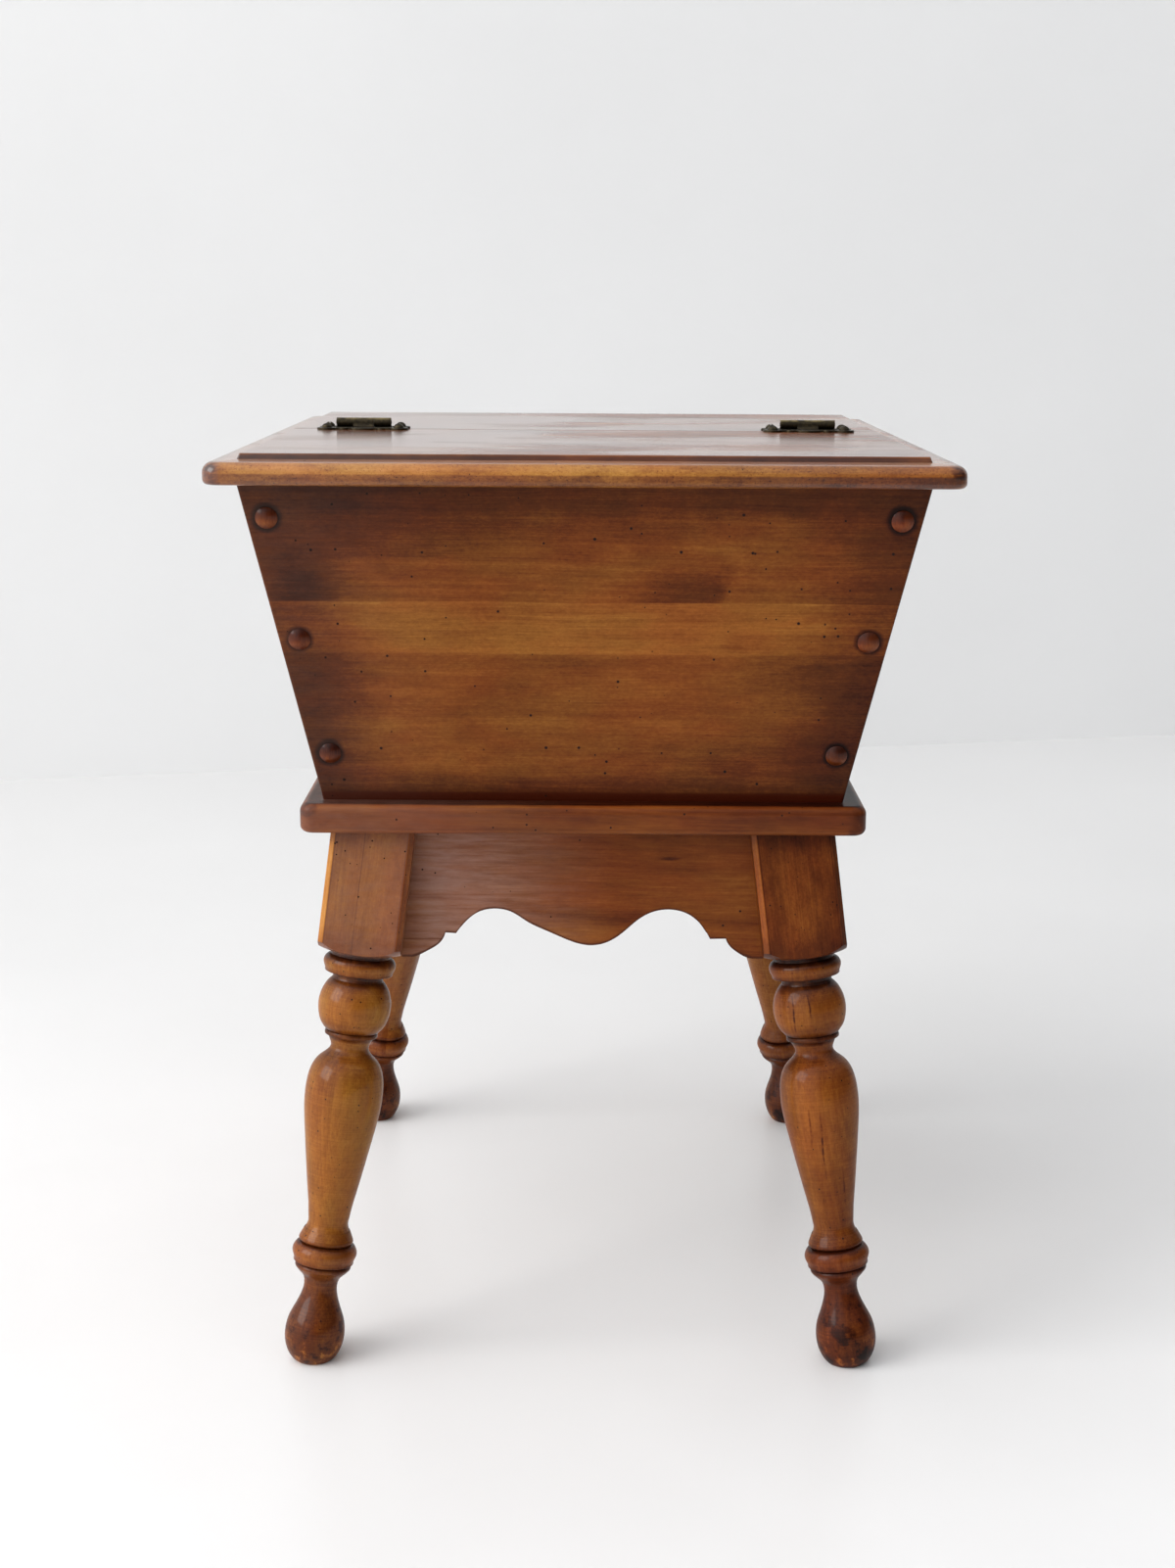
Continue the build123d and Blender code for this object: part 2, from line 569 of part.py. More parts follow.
with BuildPart() as rear_apron:
    with BuildSketch(Plane.XZ.offset(-apron_y)):
        with BuildLine():
            Line((0, base_under), (-150, base_under))
            Line((-150, base_under), (-150, 285.3))
            Line((-150, 285.3), (-119.0, 285.3))
            Spline((-119.0, 285.3), (-110.0, 288.9), (-102.4, 293.9), (-97.8, 301.5),
                   tangents=((1, 0.1), (0.28, 1)))
            Line((-97.8, 301.5), (-88.6, 301.5))
            Spline((-88.6, 301.5), (-80.7, 312.0), (-72.0, 317.9), (-60.6, 320.5), (-48.8, 318.3),
                   (-38.6, 312.0), (-26.5, 304.6), (-13.5, 298.0), (0, 294.6), tangents=((0.42, 1), (1, 0)))
            Line((0, 294.6), (0, base_under))
        make_face()
        mirror(about=Plane.YZ)
    extrude(amount=stock)
    split(bisect_by=Plane(origin=(face_front.origin.X, -face_front.origin.Y, face_front.origin.Z),
                          z_dir=(dir_u.X, -dir_u.Y, dir_u.Z)), keep=Keep.TOP)
    split(bisect_by=Plane(origin=(-face_front.origin.X, -face_front.origin.Y, face_front.origin.Z),
                          z_dir=(-dir_u.X, -dir_u.Y, dir_u.Z)), keep=Keep.TOP)
    for p in front_dowel_pts:
        with BuildSketch(Plane(origin=(p.X, -p.Y, p.Z), z_dir=(dir_u.X, -dir_u.Y, dir_u.Z))):
            Circle(dowel_r)
        with BuildSketch(Plane(origin=(-p.X, -p.Y, p.Z), z_dir=(-dir_u.X, -dir_u.Y, dir_u.Z))):
            Circle(dowel_r)
    extrude(amount=dowel_half + 0.5, mode=Mode.SUBTRACT)
    for sx in (-1, 1):
        for z in brace_screw_z:
            with BuildSketch(Plane(origin=(sx * brace_screw_x, in_y, z), z_dir=(0, -1, 0))):
                Circle(screw_r)
    extrude(amount=-13.2, mode=Mode.SUBTRACT)

with BuildPart() as left_apron:
    with BuildSketch(Plane.YZ.offset(-apron_x)):
        with BuildLine():
            Line((0, base_under), (-190, base_under))
            Line((-190, base_under), (-190, 285.3))
            Line((-190, 285.3), (-160.0, 285.3))
            Spline((-160.0, 285.3), (-151.0, 288.9), (-143.4, 293.9), (-138.8, 301.5),
                   tangents=((1, 0.1), (0.28, 1)))
            Line((-138.8, 301.5), (-129.6, 301.5))
            Spline((-129.6, 301.5), (-119.0, 311.6), (-106.0, 318.0), (-89.0, 320.5), (-71.5, 318.2),
                   (-56.5, 312.0), (-38.8, 304.6), (-19.8, 297.6), (0, 294.6), tangents=((0.5, 1), (1, 0)))
            Line((0, 294.6), (0, base_under))
        make_face()
        mirror(about=Plane.YZ)
    extrude(amount=stock)
    split(bisect_by=face_side, keep=Keep.TOP)
    split(bisect_by=face_side_r, keep=Keep.TOP)
    for p in side_dowel_pts:
        with BuildSketch(Plane(origin=p, z_dir=dir_v)):
            Circle(dowel_r)
        with BuildSketch(Plane(origin=(p.X, -p.Y, p.Z), z_dir=(dir_v.X, -dir_v.Y, dir_v.Z))):
            Circle(dowel_r)
    extrude(amount=dowel_half + 0.5, mode=Mode.SUBTRACT)
    for sy in (-1, 1):
        for z in brace_screw_z:
            with BuildSketch(Plane(origin=(-in_x, sy * brace_screw_y, z), z_dir=(1, 0, 0))):
                Circle(screw_r)
    extrude(amount=-13.2, mode=Mode.SUBTRACT)

with BuildPart() as right_apron:
    mirror(left_apron.part, about=Plane.YZ)

with BuildPart() as apron_dowels:
    for sx in (-1, 1):
        for sy in (-1, 1):
            for p in front_dowel_pts:
                d = Vector(-sx * dir_u.X, -sy * dir_u.Y, dir_u.Z)
                with BuildSketch(Plane(origin=Vector(-sx * p.X, -sy * p.Y, p.Z) - d * dowel_half, z_dir=d)):
                    Circle(dowel_r)
            for p in side_dowel_pts:
                d = Vector(-sx * dir_v.X, -sy * dir_v.Y, dir_v.Z)
                with BuildSketch(Plane(origin=Vector(-sx * p.X, -sy * p.Y, p.Z) - d * dowel_half, z_dir=d)):
                    Circle(dowel_r)
    extrude(amount=2 * dowel_half)

# ---------------------------------------------------------------- corner braces
# heads of the brace screws lie in spot-faced holes
spot_y = in_y - 9.8          # plane of the head seats, screws into the front apron
spot_x = in_x - 9.8          # the same, screws into the side apron

with BuildPart() as front_left_brace:
    with BuildSketch(Plane.XY.offset(brace_low)):
        with BuildLine():
            Polyline((-(brace_sum - in_y), -in_y), (-in_x, -(brace_sum - in_x)),
                     (-in_x, -(brace_in - in_x)), (-(brace_in - in_y), -in_y), close=True)
        make_face()
    extrude(amount=base_under - brace_low)
    for z in brace_screw_z:
        with BuildSketch(Plane(origin=(-brace_screw_x, -in_y, z), z_dir=(0, 1, 0))):
            Circle(screw_r)
        with BuildSketch(Plane(origin=(-in_x, -brace_screw_y, z), z_dir=(1, 0, 0))):
            Circle(screw_r)
    extrude(amount=30.0, mode=Mode.SUBTRACT)
    for z in brace_screw_z:
        with BuildSketch(Plane(origin=(-brace_screw_x, -spot_y, z), z_dir=(0, 1, 0))):
            Circle(head_r + 0.3)
        with BuildSketch(Plane(origin=(-spot_x, -brace_screw_y, z), z_dir=(1, 0, 0))):
            Circle(head_r + 0.3)
    extrude(amount=30.0, mode=Mode.SUBTRACT)
    for (x, y) in brace_pts:
        with BuildSketch(Plane(origin=(-x, -y, frame_head_z), z_dir=(0, 0, -1))):
            Circle(screw_r)
    extrude(amount=-30.0, mode=Mode.SUBTRACT)
    for (x, y) in brace_pts:
        with BuildSketch(Plane(origin=(-x, -y, frame_head_z + head_h), z_dir=(0, 0, -1))):
            Circle(head_r)
    extrude(amount=40.0, mode=Mode.SUBTRACT)
    with BuildSketch(bolt_plane):
        Circle(bolt_r)
    extrude(amount=-30.0, mode=Mode.SUBTRACT)

with BuildPart() as front_right_brace:
    mirror(front_left_brace.part, about=Plane.YZ)
with BuildPart() as rear_left_brace:
    mirror(front_left_brace.part, about=Plane.XZ)
with BuildPart() as rear_right_brace:
    mirror(rear_left_brace.part, about=Plane.YZ)

brace_seats = []
for sx in (-1, 1):
    for sy in (-1, 1):
        for z in brace_screw_z:
            brace_seats.append(Plane(origin=(sx * brace_screw_x, sy * (spot_y - head_h), z), z_dir=(0, -sy, 0)))
            brace_seats.append(Plane(origin=(sx * (spot_x - head_h), sy * brace_screw_y, z), z_dir=(-sx, 0, 0)))

with BuildPart() as brace_screws:
    for seat in brace_seats:
        with BuildSketch(seat):
            Circle(screw_r)
    extrude(amount=-(brace_screw_l + head_h))
    for seat in brace_seats:
        with BuildSketch(seat):
            Circle(head_r)
    extrude(amount=-head_h)
    for seat in brace_seats:
        with BuildSketch(seat):
            Rectangle(0.9, 3.6)
            Rectangle(3.6, 0.9)
    extrude(amount=-1.2, mode=Mode.SUBTRACT)

bolt_planes = []
for sx in (-1, 1):
    for sy in (-1, 1):
        bolt_planes.append(Plane(origin=(-sx * bolt_face.X, -sy * bolt_face.Y, bolt_z),
                                 x_dir=(0, 0, 1), z_dir=(sx * diag.X, sy * diag.Y, 0)))

with BuildPart() as hanger_bolts:
    for pl in bolt_planes:
        with BuildSketch(pl.offset(12.0)):
            Circle(bolt_r)
    extrude(amount=-75.0)

with BuildPart() as hanger_washers:
    for pl in bolt_planes:
        with BuildSketch(pl):
            Circle(9.0)
            Circle(bolt_r, mode=Mode.SUBTRACT)
    extrude(amount=1.8)

with BuildPart() as hanger_nuts:
    for pl in bolt_planes:
        with BuildSketch(pl.offset(1.8)):
            RegularPolygon(7.3, 6)
            Circle(bolt_r, mode=Mode.SUBTRACT)
    extrude(amount=5.8)

# ---------------------------------------------------------------- hinges
# Each hinge has a front leaf on the lid with the middle knuckle, and a rear
# leaf on the fixed board with the two outer knuckles and the pin.
axis_z = top_z + axis_h
kn_end = barrel_len / 2
kn_mid = mid_knuckle / 2

with BuildPart() as left_hinge_lid_leaf:
    with BuildSketch(Plane.XY.offset(top_z)) as leaf_plan:
        with Locations((-hinge_x, seam_y - 0.5 - 6.5)):
            Rectangle(barrel_len, 13.0)
        with Locations((-hinge_x - ear_x, seam_y - ear_v), (-hinge_x + ear_x, seam_y - ear_v)):
            Circle(7.3)
        with Locations((-hinge_x, seam_y - 12.6)):
            Ellipse(9.0, 5.2)
        with Locations((-hinge_x - 14.0, seam_y - 12.2), (-hinge_x + 14.0, seam_y - 12.2)):
            Circle(3.6)
        with Locations((-hinge_x - ear_x, seam_y - ear_v), (-hinge_x + ear_x, seam_y - ear_v)):
            Circle(1.45, mode=Mode.SUBTRACT)
    extrude(amount=leaf_t)
    fillet(left_hinge_lid_leaf.faces().sort_by(Axis.Z)[-1].outer_wire().edges(), radius=0.5)
    with BuildSketch(Plane.YZ.offset(-hinge_x)):
        with BuildLine():
            Line((seam_y - 0.6, top_z + 0.5), (seam_y - 0.6, axis_z))
            Line((seam_y - 0.6, axis_z), (seam_y - barrel_r, axis_z))
            Spline((seam_y - barrel_r, axis_z), (seam_y - 3.9, axis_z - 2.4), (seam_y - 6.6, top_z + 1.3),
                   tangents=((0, -1), (-1, -0.2)))
            Line((seam_y - 6.6, top_z + 1.3), (seam_y - 6.6, top_z + 0.5))
            Line((seam_y - 6.6, top_z + 0.5), (seam_y - 0.6, top_z + 0.5))
        make_face()
        with Locations((seam_y, axis_z)):
            Circle(barrel_r)
    extrude(amount=kn_mid, both=True)
    with BuildSketch(Plane.YZ.offset(-hinge_x)):
        with Locations((seam_y, axis_z)):
            Circle(pin_r + pin_clear)
    extrude(amount=kn_mid + 1, both=True, mode=Mode.SUBTRACT)

with BuildPart() as right_hinge_lid_leaf:
    mirror(left_hinge_lid_leaf.part, about=Plane.YZ)

with BuildPart() as left_hinge_rear_leaf:
    with BuildSketch(Plane.XY.offset(top_z)) as rear_plan:
        with Locations((-hinge_x, seam_y + 0.5 + 6.5)):
            Rectangle(barrel_len, 13.0)
        with Locations((-hinge_x - ear_x, seam_y + ear_v), (-hinge_x + ear_x, seam_y + ear_v)):
            Circle(7.3)
        with Locations((-hinge_x, seam_y + 12.6)):
            Ellipse(9.0, 5.2)
        with Locations((-hinge_x - 14.0, seam_y + 12.2), (-hinge_x + 14.0, seam_y + 12.2)):
            Circle(3.6)
        with Locations((-hinge_x - ear_x, seam_y + ear_v), (-hinge_x + ear_x, seam_y + ear_v)):
            Circle(1.45, mode=Mode.SUBTRACT)
    extrude(amount=leaf_t)
    fillet(left_hinge_rear_leaf.faces().sort_by(Axis.Z)[-1].outer_wire().edges(), radius=0.5)
    with BuildSketch(Plane.YZ.offset(-hinge_x - kn_end), Plane.YZ.offset(-hinge_x + kn_mid + knuckle_gap)):
        with BuildLine():
            Line((seam_y + 0.6, top_z + 0.5), (seam_y + 0.6, axis_z))
            Line((seam_y + 0.6, axis_z), (seam_y + barrel_r, axis_z))
            Spline((seam_y + barrel_r, axis_z), (seam_y + 3.9, axis_z - 2.4), (seam_y + 6.6, top_z + 1.3),
                   tangents=((0, -1), (1, -0.2)))
            Line((seam_y + 6.6, top_z + 1.3), (seam_y + 6.6, top_z + 0.5))
            Line((seam_y + 6.6, top_z + 0.5), (seam_y + 0.6, top_z + 0.5))
        make_face()
        with Locations((seam_y, axis_z)):
            Circle(barrel_r)
    extrude(amount=kn_end - kn_mid - knuckle_gap)
    with BuildSketch(Plane.YZ.offset(-hinge_x)):
        with Locations((seam_y, axis_z)):
            Circle(pin_r)
    extrude(amount=kn_end + 1, both=True, mode=Mode.SUBTRACT)

with BuildPart() as right_hinge_rear_leaf:
    mirror(left_hinge_rear_leaf.part, about=Plane.YZ)

with BuildPart() as left_hinge_pin:
    with BuildSketch(Plane.YZ.offset(-hinge_x)):
        with Locations((seam_y, axis_z)):
            Circle(pin_r)
    extrude(amount=kn_end + 0.4, both=True)
    fillet(left_hinge_pin.edges().filter_by(GeomType.CIRCLE), radius=0.35)

with BuildPart() as right_hinge_pin:
    mirror(left_hinge_pin.part, about=Plane.YZ)

dome_cap = (dome_r ** 2 + (dome_h - 0.5) ** 2) / (2 * (dome_h - 0.5))

with BuildPart() as lid_hinge_screws:
    for sx in (-1, 1):
        for ex in (-ear_x, ear_x):
            with BuildSketch(Plane(origin=(sx * hinge_x + ex, seam_y - ear_v, top_z + leaf_t),
                                   x_dir=(1, 0, 0), z_dir=(0, -1, 0))):
                with BuildLine():
                    Line((0, -13.0), (0.4, -13.0))
                    Line((0.4, -13.0), (1.45, -9.0))
                    Line((1.45, -9.0), (1.45, 0))
                    Line((1.45, 0), (dome_r, 0))
                    Line((dome_r, 0), (dome_r, 0.5))
                    RadiusArc((dome_r, 0.5), (0, dome_h), -dome_cap)
                    Line((0, dome_h), (0, -13.0))
                make_face()
            revolve(axis=Axis((sx * hinge_x + ex, seam_y - ear_v, 0), (0, 0, 1)))
    for sx in (-1, 1):
        for ex, turn in ((-ear_x, 35), (ear_x, 110)):
            with BuildSketch(Plane.XY.offset(top_z + leaf_t + dome_h - 1.0)):
                with Locations(Location((sx * hinge_x + ex, seam_y - ear_v, 0), (0, 0, sx * turn))):
                    Rectangle(10.0, 0.9)
    extrude(amount=3.0, mode=Mode.SUBTRACT)

with BuildPart() as rear_hinge_screws:
    for sx in (-1, 1):
        for ex in (-ear_x, ear_x):
            with BuildSketch(Plane(origin=(sx * hinge_x + ex, seam_y + ear_v, top_z + leaf_t),
                                   x_dir=(1, 0, 0), z_dir=(0, -1, 0))):
                with BuildLine():
                    Line((0, -13.0), (0.4, -13.0))
                    Line((0.4, -13.0), (1.45, -9.0))
                    Line((1.45, -9.0), (1.45, 0))
                    Line((1.45, 0), (dome_r, 0))
                    Line((dome_r, 0), (dome_r, 0.5))
                    RadiusArc((dome_r, 0.5), (0, dome_h), -dome_cap)
                    Line((0, dome_h), (0, -13.0))
                make_face()
            revolve(axis=Axis((sx * hinge_x + ex, seam_y + ear_v, 0), (0, 0, 1)))
    for sx in (-1, 1):
        for ex, turn in ((-ear_x, 80), (ear_x, 15)):
            with BuildSketch(Plane.XY.offset(top_z + leaf_t + dome_h - 1.0)):
                with Locations(Location((sx * hinge_x + ex, seam_y + ear_v, 0), (0, 0, sx * turn))):
                    Rectangle(10.0, 0.9)
    extrude(amount=3.0, mode=Mode.SUBTRACT)

# ---------------------------------------------------------------- write the pieces
lid_board.part.label = "lid_board"
export_step(lid_board.part, "parts/lid_board.step")
rear_top_board.part.label = "rear_top_board"
export_step(rear_top_board.part, "parts/rear_top_board.step")
top_cleat_rear.part.label = "top_cleat_rear"
export_step(top_cleat_rear.part, "parts/top_cleat_rear.step")
top_cleat_left.part.label = "top_cleat_left"
export_step(top_cleat_left.part, "parts/top_cleat_left.step")
top_cleat_right.part.label = "top_cleat_right"
export_step(top_cleat_right.part, "parts/top_cleat_right.step")
cleat_screws.part.label = "cleat_screws"
export_step(cleat_screws.part, "parts/cleat_screws.step")
front_panel.part.label = "front_panel"
export_step(front_panel.part, "parts/front_panel.step")
back_panel.part.label = "back_panel"
export_step(back_panel.part, "parts/back_panel.step")
left_panel.part.label = "left_panel"
export_step(left_panel.part, "parts/left_panel.step")
right_panel.part.label = "right_panel"
export_step(right_panel.part, "parts/right_panel.step")
panel_screws.part.label = "panel_screws"
export_step(panel_screws.part, "parts/panel_screws.step")
peg_buttons.part.label = "peg_buttons"
export_step(peg_buttons.part, "parts/peg_buttons.step")
base_board.part.label = "base_board"
export_step(base_board.part, "parts/base_board.step")
plate_screws.part.label = "base_board_screws"
export_step(plate_screws.part, "parts/base_board_screws.step")
frame_screws.part.label = "frame_screws"
export_step(frame_screws.part, "parts/frame_screws.step")
front_left_leg.part.label = "front_left_leg"
export_step(front_left_leg.part, "parts/front_left_leg.step")
front_right_leg.part.label = "front_right_leg"
export_step(front_right_leg.part, "parts/front_right_leg.step")
rear_left_leg.part.label = "rear_left_leg"
export_step(rear_left_leg.part, "parts/rear_left_leg.step")
rear_right_leg.part.label = "rear_right_leg"
export_step(rear_right_leg.part, "parts/rear_right_leg.step")
front_apron.part.label = "front_apron"
export_step(front_apron.part, "parts/front_apron.step")
rear_apron.part.label = "rear_apron"
export_step(rear_apron.part, "parts/rear_apron.step")
left_apron.part.label = "left_apron"
export_step(left_apron.part, "parts/left_apron.step")
right_apron.part.label = "right_apron"
export_step(right_apron.part, "parts/right_apron.step")
apron_dowels.part.label = "apron_dowels"
export_step(apron_dowels.part, "parts/apron_dowels.step")
front_left_brace.part.label = "front_left_brace"
export_step(front_left_brace.part, "parts/front_left_brace.step")
front_right_brace.part.label = "front_right_brace"
export_step(front_right_brace.part, "parts/front_right_brace.step")
rear_left_brace.part.label = "rear_left_brace"
export_step(rear_left_brace.part, "parts/rear_left_brace.step")
rear_right_brace.part.label = "rear_right_brace"
export_step(rear_right_brace.part, "parts/rear_right_brace.step")
brace_screws.part.label = "brace_screws"
export_step(brace_screws.part, "parts/brace_screws.step")
hanger_bolts.part.label = "hanger_bolts"
export_step(hanger_bolts.part, "parts/hanger_bolts.step")
hanger_washers.part.label = "hanger_washers"
export_step(hanger_washers.part, "parts/hanger_washers.step")
hanger_nuts.part.label = "hanger_nuts"
export_step(hanger_nuts.part, "parts/hanger_nuts.step")
left_hinge_lid_leaf.part.label = "left_hinge_lid_leaf"
export_step(left_hinge_lid_leaf.part, "parts/left_hinge_lid_leaf.step")
right_hinge_lid_leaf.part.label = "right_hinge_lid_leaf"
export_step(right_hinge_lid_leaf.part, "parts/right_hinge_lid_leaf.step")
left_hinge_rear_leaf.part.label = "left_hinge_rear_leaf"
export_step(left_hinge_rear_leaf.part, "parts/left_hinge_rear_leaf.step")
right_hinge_rear_leaf.part.label = "right_hinge_rear_leaf"
export_step(right_hinge_rear_leaf.part, "parts/right_hinge_rear_leaf.step")
left_hinge_pin.part.label = "left_hinge_pin"
export_step(left_hinge_pin.part, "parts/left_hinge_pin.step")
right_hinge_pin.part.label = "right_hinge_pin"
export_step(right_hinge_pin.part, "parts/right_hinge_pin.step")
lid_hinge_screws.part.label = "lid_hinge_screws"
export_step(lid_hinge_screws.part, "parts/lid_hinge_screws.step")
rear_hinge_screws.part.label = "rear_hinge_screws"
export_step(rear_hinge_screws.part, "parts/rear_hinge_screws.step")
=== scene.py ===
import math

import bpy
from mathutils import Matrix, Vector

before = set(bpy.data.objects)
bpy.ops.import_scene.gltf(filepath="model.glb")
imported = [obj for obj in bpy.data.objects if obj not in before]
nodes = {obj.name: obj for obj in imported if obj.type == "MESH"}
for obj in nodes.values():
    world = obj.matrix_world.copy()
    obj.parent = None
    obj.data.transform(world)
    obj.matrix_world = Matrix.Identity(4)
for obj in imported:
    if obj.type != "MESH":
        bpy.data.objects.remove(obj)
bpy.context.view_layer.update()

# Sizes shared with the CAD source, in metres
TOP_Z = 0.6373
TOP_UNDER = 0.6183
BASE_TOP = 0.4013
BASE_UNDER = 0.3810
FLARE = 0.2108
HX0, HY0 = 0.1768, 0.2124
WALL = 0.01942
SPLAY_X, SPLAY_Y = 0.1253, 0.131
FOOT_X, FOOT_Y = 0.1907, 0.2345
TOP_HX, TOP_HY = 0.2430, 0.2752
FIELD_HX, FIELD_HY = 0.2207, 0.2529
PLATE_HX, PLATE_HY = 0.1918, 0.2290
APRON_X, APRON_Y = 0.1543, 0.1968
BUTTON_IN = 0.0136
BUTTON_Z = (0.5963, 0.5150, 0.4353)


# ------------------------------------------------------------------ node helper
class Graph:
    """Builds one material's nodes; sockets, numbers and tuples can be mixed."""

    def __init__(self, name):
        self.mat = bpy.data.materials.new(name)
        self.mat.use_nodes = True
        self.tree = self.mat.node_tree
        self.nodes = self.tree.nodes
        self.nodes.clear()
        self.out = self.nodes.new("ShaderNodeOutputMaterial")
        self.coord = self.nodes.new("ShaderNodeTexCoord").outputs["Object"]

    def put(self, socket, value):
        if isinstance(value, bpy.types.NodeSocket):
            self.tree.links.new(value, socket)
        elif value is not None:
            if socket.type == "RGBA" and len(value) == 3:
                value = (*value, 1.0)
            socket.default_value = value

    def m(self, op, a, b=None, c=None, clamp=False):
        n = self.nodes.new("ShaderNodeMath")
        n.operation = op
        n.use_clamp = clamp
        for i, v in enumerate((a, b, c)):
            self.put(n.inputs[i], v)
        return n.outputs[0]

    def add(self, *terms):
        total = terms[0]
        for t in terms[1:]:
            total = self.m("ADD", total, t)
        return total

    def mul(self, *terms):
        total = terms[0]
        for t in terms[1:]:
            total = self.m("MULTIPLY", total, t)
        return total

    def v(self, op, a, b=None):
        n = self.nodes.new("ShaderNodeVectorMath")
        n.operation = op
        self.put(n.inputs[0], a)
        if b is not None:
            self.put(n.inputs[1], b)
        return n.outputs["Value"] if op in ("DOT_PRODUCT", "LENGTH") else n.outputs["Vector"]

    def xyz(self, vec):
        n = self.nodes.new("ShaderNodeSeparateXYZ")
        self.put(n.inputs[0], vec)
        return n.outputs[0], n.outputs[1], n.outputs[2]

    def vec(self, x, y, z):
        n = self.nodes.new("ShaderNodeCombineXYZ")
        for i, v in enumerate((x, y, z)):
            self.put(n.inputs[i], v)
        return n.outputs[0]

    def noise(self, vec, scale=1.0, detail=2.0, rough=0.5, warp=0.0, dims="3D"):
        n = self.nodes.new("ShaderNodeTexNoise")
        n.noise_dimensions = dims
        self.put(n.inputs["W" if dims == "1D" else "Vector"], vec)
        n.inputs["Scale"].default_value = scale
        n.inputs["Detail"].default_value = detail
        n.inputs["Roughness"].default_value = rough
        n.inputs["Distortion"].default_value = warp
        return n.outputs[0]

    def voronoi(self, vec, scale):
        n = self.nodes.new("ShaderNodeTexVoronoi")
        self.put(n.inputs["Vector"], vec)
        n.inputs["Scale"].default_value = scale
        return n.outputs["Distance"], n.outputs["Color"]

    def step(self, value, lo, hi, a=0.0, b=1.0, smooth=True):
        """value below lo gives a, above hi gives b"""
        n = self.nodes.new("ShaderNodeMapRange")
        n.interpolation_type = "SMOOTHSTEP" if smooth else "LINEAR"
        n.clamp = True
        self.put(n.inputs["Value"], value)
        n.inputs["From Min"].default_value = lo
        n.inputs["From Max"].default_value = hi
        n.inputs["To Min"].default_value = a
        n.inputs["To Max"].default_value = b
        return n.outputs["Result"]

    def bell(self, value, centre, half, height=1.0):
        """1 at the centre, 0 at half away"""
        d = self.m("ABSOLUTE", self.m("SUBTRACT", value, centre))
        return self.step(d, 0.0, half, height, 0.0)

    def mix(self, fac, a, b, blend="MIX"):
        n = self.nodes.new("ShaderNodeMix")
        n.data_type = "RGBA"
        n.blend_type = blend
        n.clamp_factor = True
        self.put(n.inputs[0], fac)
        self.put(n.inputs[6], a)
        self.put(n.inputs[7], b)
        return n.outputs[2]

    def ramp(self, fac, stops, interpolation="LINEAR"):
        n = self.nodes.new("ShaderNodeValToRGB")
        n.color_ramp.interpolation = interpolation
        el = n.color_ramp.elements
        while len(el) > 1:
            el.remove(el[-1])
        el[0].position = stops[0][0]
        el[0].color = (*stops[0][1], 1.0)
        for p, c in stops[1:]:
            e = el.new(p)
            e.color = (*c, 1.0)
        self.put(n.inputs[0], fac)
        return n.outputs[0]

    def profile(self, value, lo, hi, points):
        """a curve through points (value, height), straight between them and flat outside"""
        n = self.nodes.new("ShaderNodeFloatCurve")
        t = self.step(value, lo, hi, 0.0, 1.0, smooth=False)
        cm = n.mapping
        cm.use_clip = True
        curve = cm.curves[0]
        pts = [((x - lo) / (hi - lo), y) for x, y in points]
        while len(curve.points) < len(pts):
            curve.points.new(0.5, 0.5)
        for p, (x, y) in zip(curve.points, sorted(pts)):
            p.location = (x, y)
            p.handle_type = "VECTOR"
        cm.update()
        self.put(n.inputs["Value"], t)
        return n.outputs[0]

    def bump(self, height, distance, strength=1.0, normal=None):
        n = self.nodes.new("ShaderNodeBump")
        n.inputs["Strength"].default_value = strength
        n.inputs["Distance"].default_value = distance
        self.put(n.inputs["Height"], height)
        if normal is not None:
            self.put(n.inputs["Normal"], normal)
        return n.outputs[0]

    def surface(self, color, rough, normal=None, metallic=0.0, specular=0.5, ior=1.5,
                coat=0.0, coat_rough=0.1):
        n = self.nodes.new("ShaderNodeBsdfPrincipled")
        self.put(n.inputs["Base Color"], color)
        self.put(n.inputs["Roughness"], rough)
        n.inputs["Metallic"].default_value = metallic
        n.inputs["IOR"].default_value = ior
        n.inputs["Specular IOR Level"].default_value = specular
        self.put(n.inputs["Coat Weight"], coat)
        n.inputs["Coat Roughness"].default_value = coat_rough
        if normal is not None:
            self.put(n.inputs["Normal"], normal)
        self.tree.links.new(n.outputs[0], self.out.inputs["Surface"])
        return self.mat


# ------------------------------------------------------------------ wood
STAIN = [
    (0.00, (0.0100, 0.0022, 0.0010)),
    (0.18, (0.0380, 0.0082, 0.0024)),
    (0.36, (0.0960, 0.0240, 0.0048)),
    (0.52, (0.1850, 0.0545, 0.0095)),
    (0.68, (0.2950, 0.1080, 0.0195)),
    (0.84, (0.4300, 0.1850, 0.0370)),
    (1.00, (0.5300, 0.2500, 0.0700)),
]


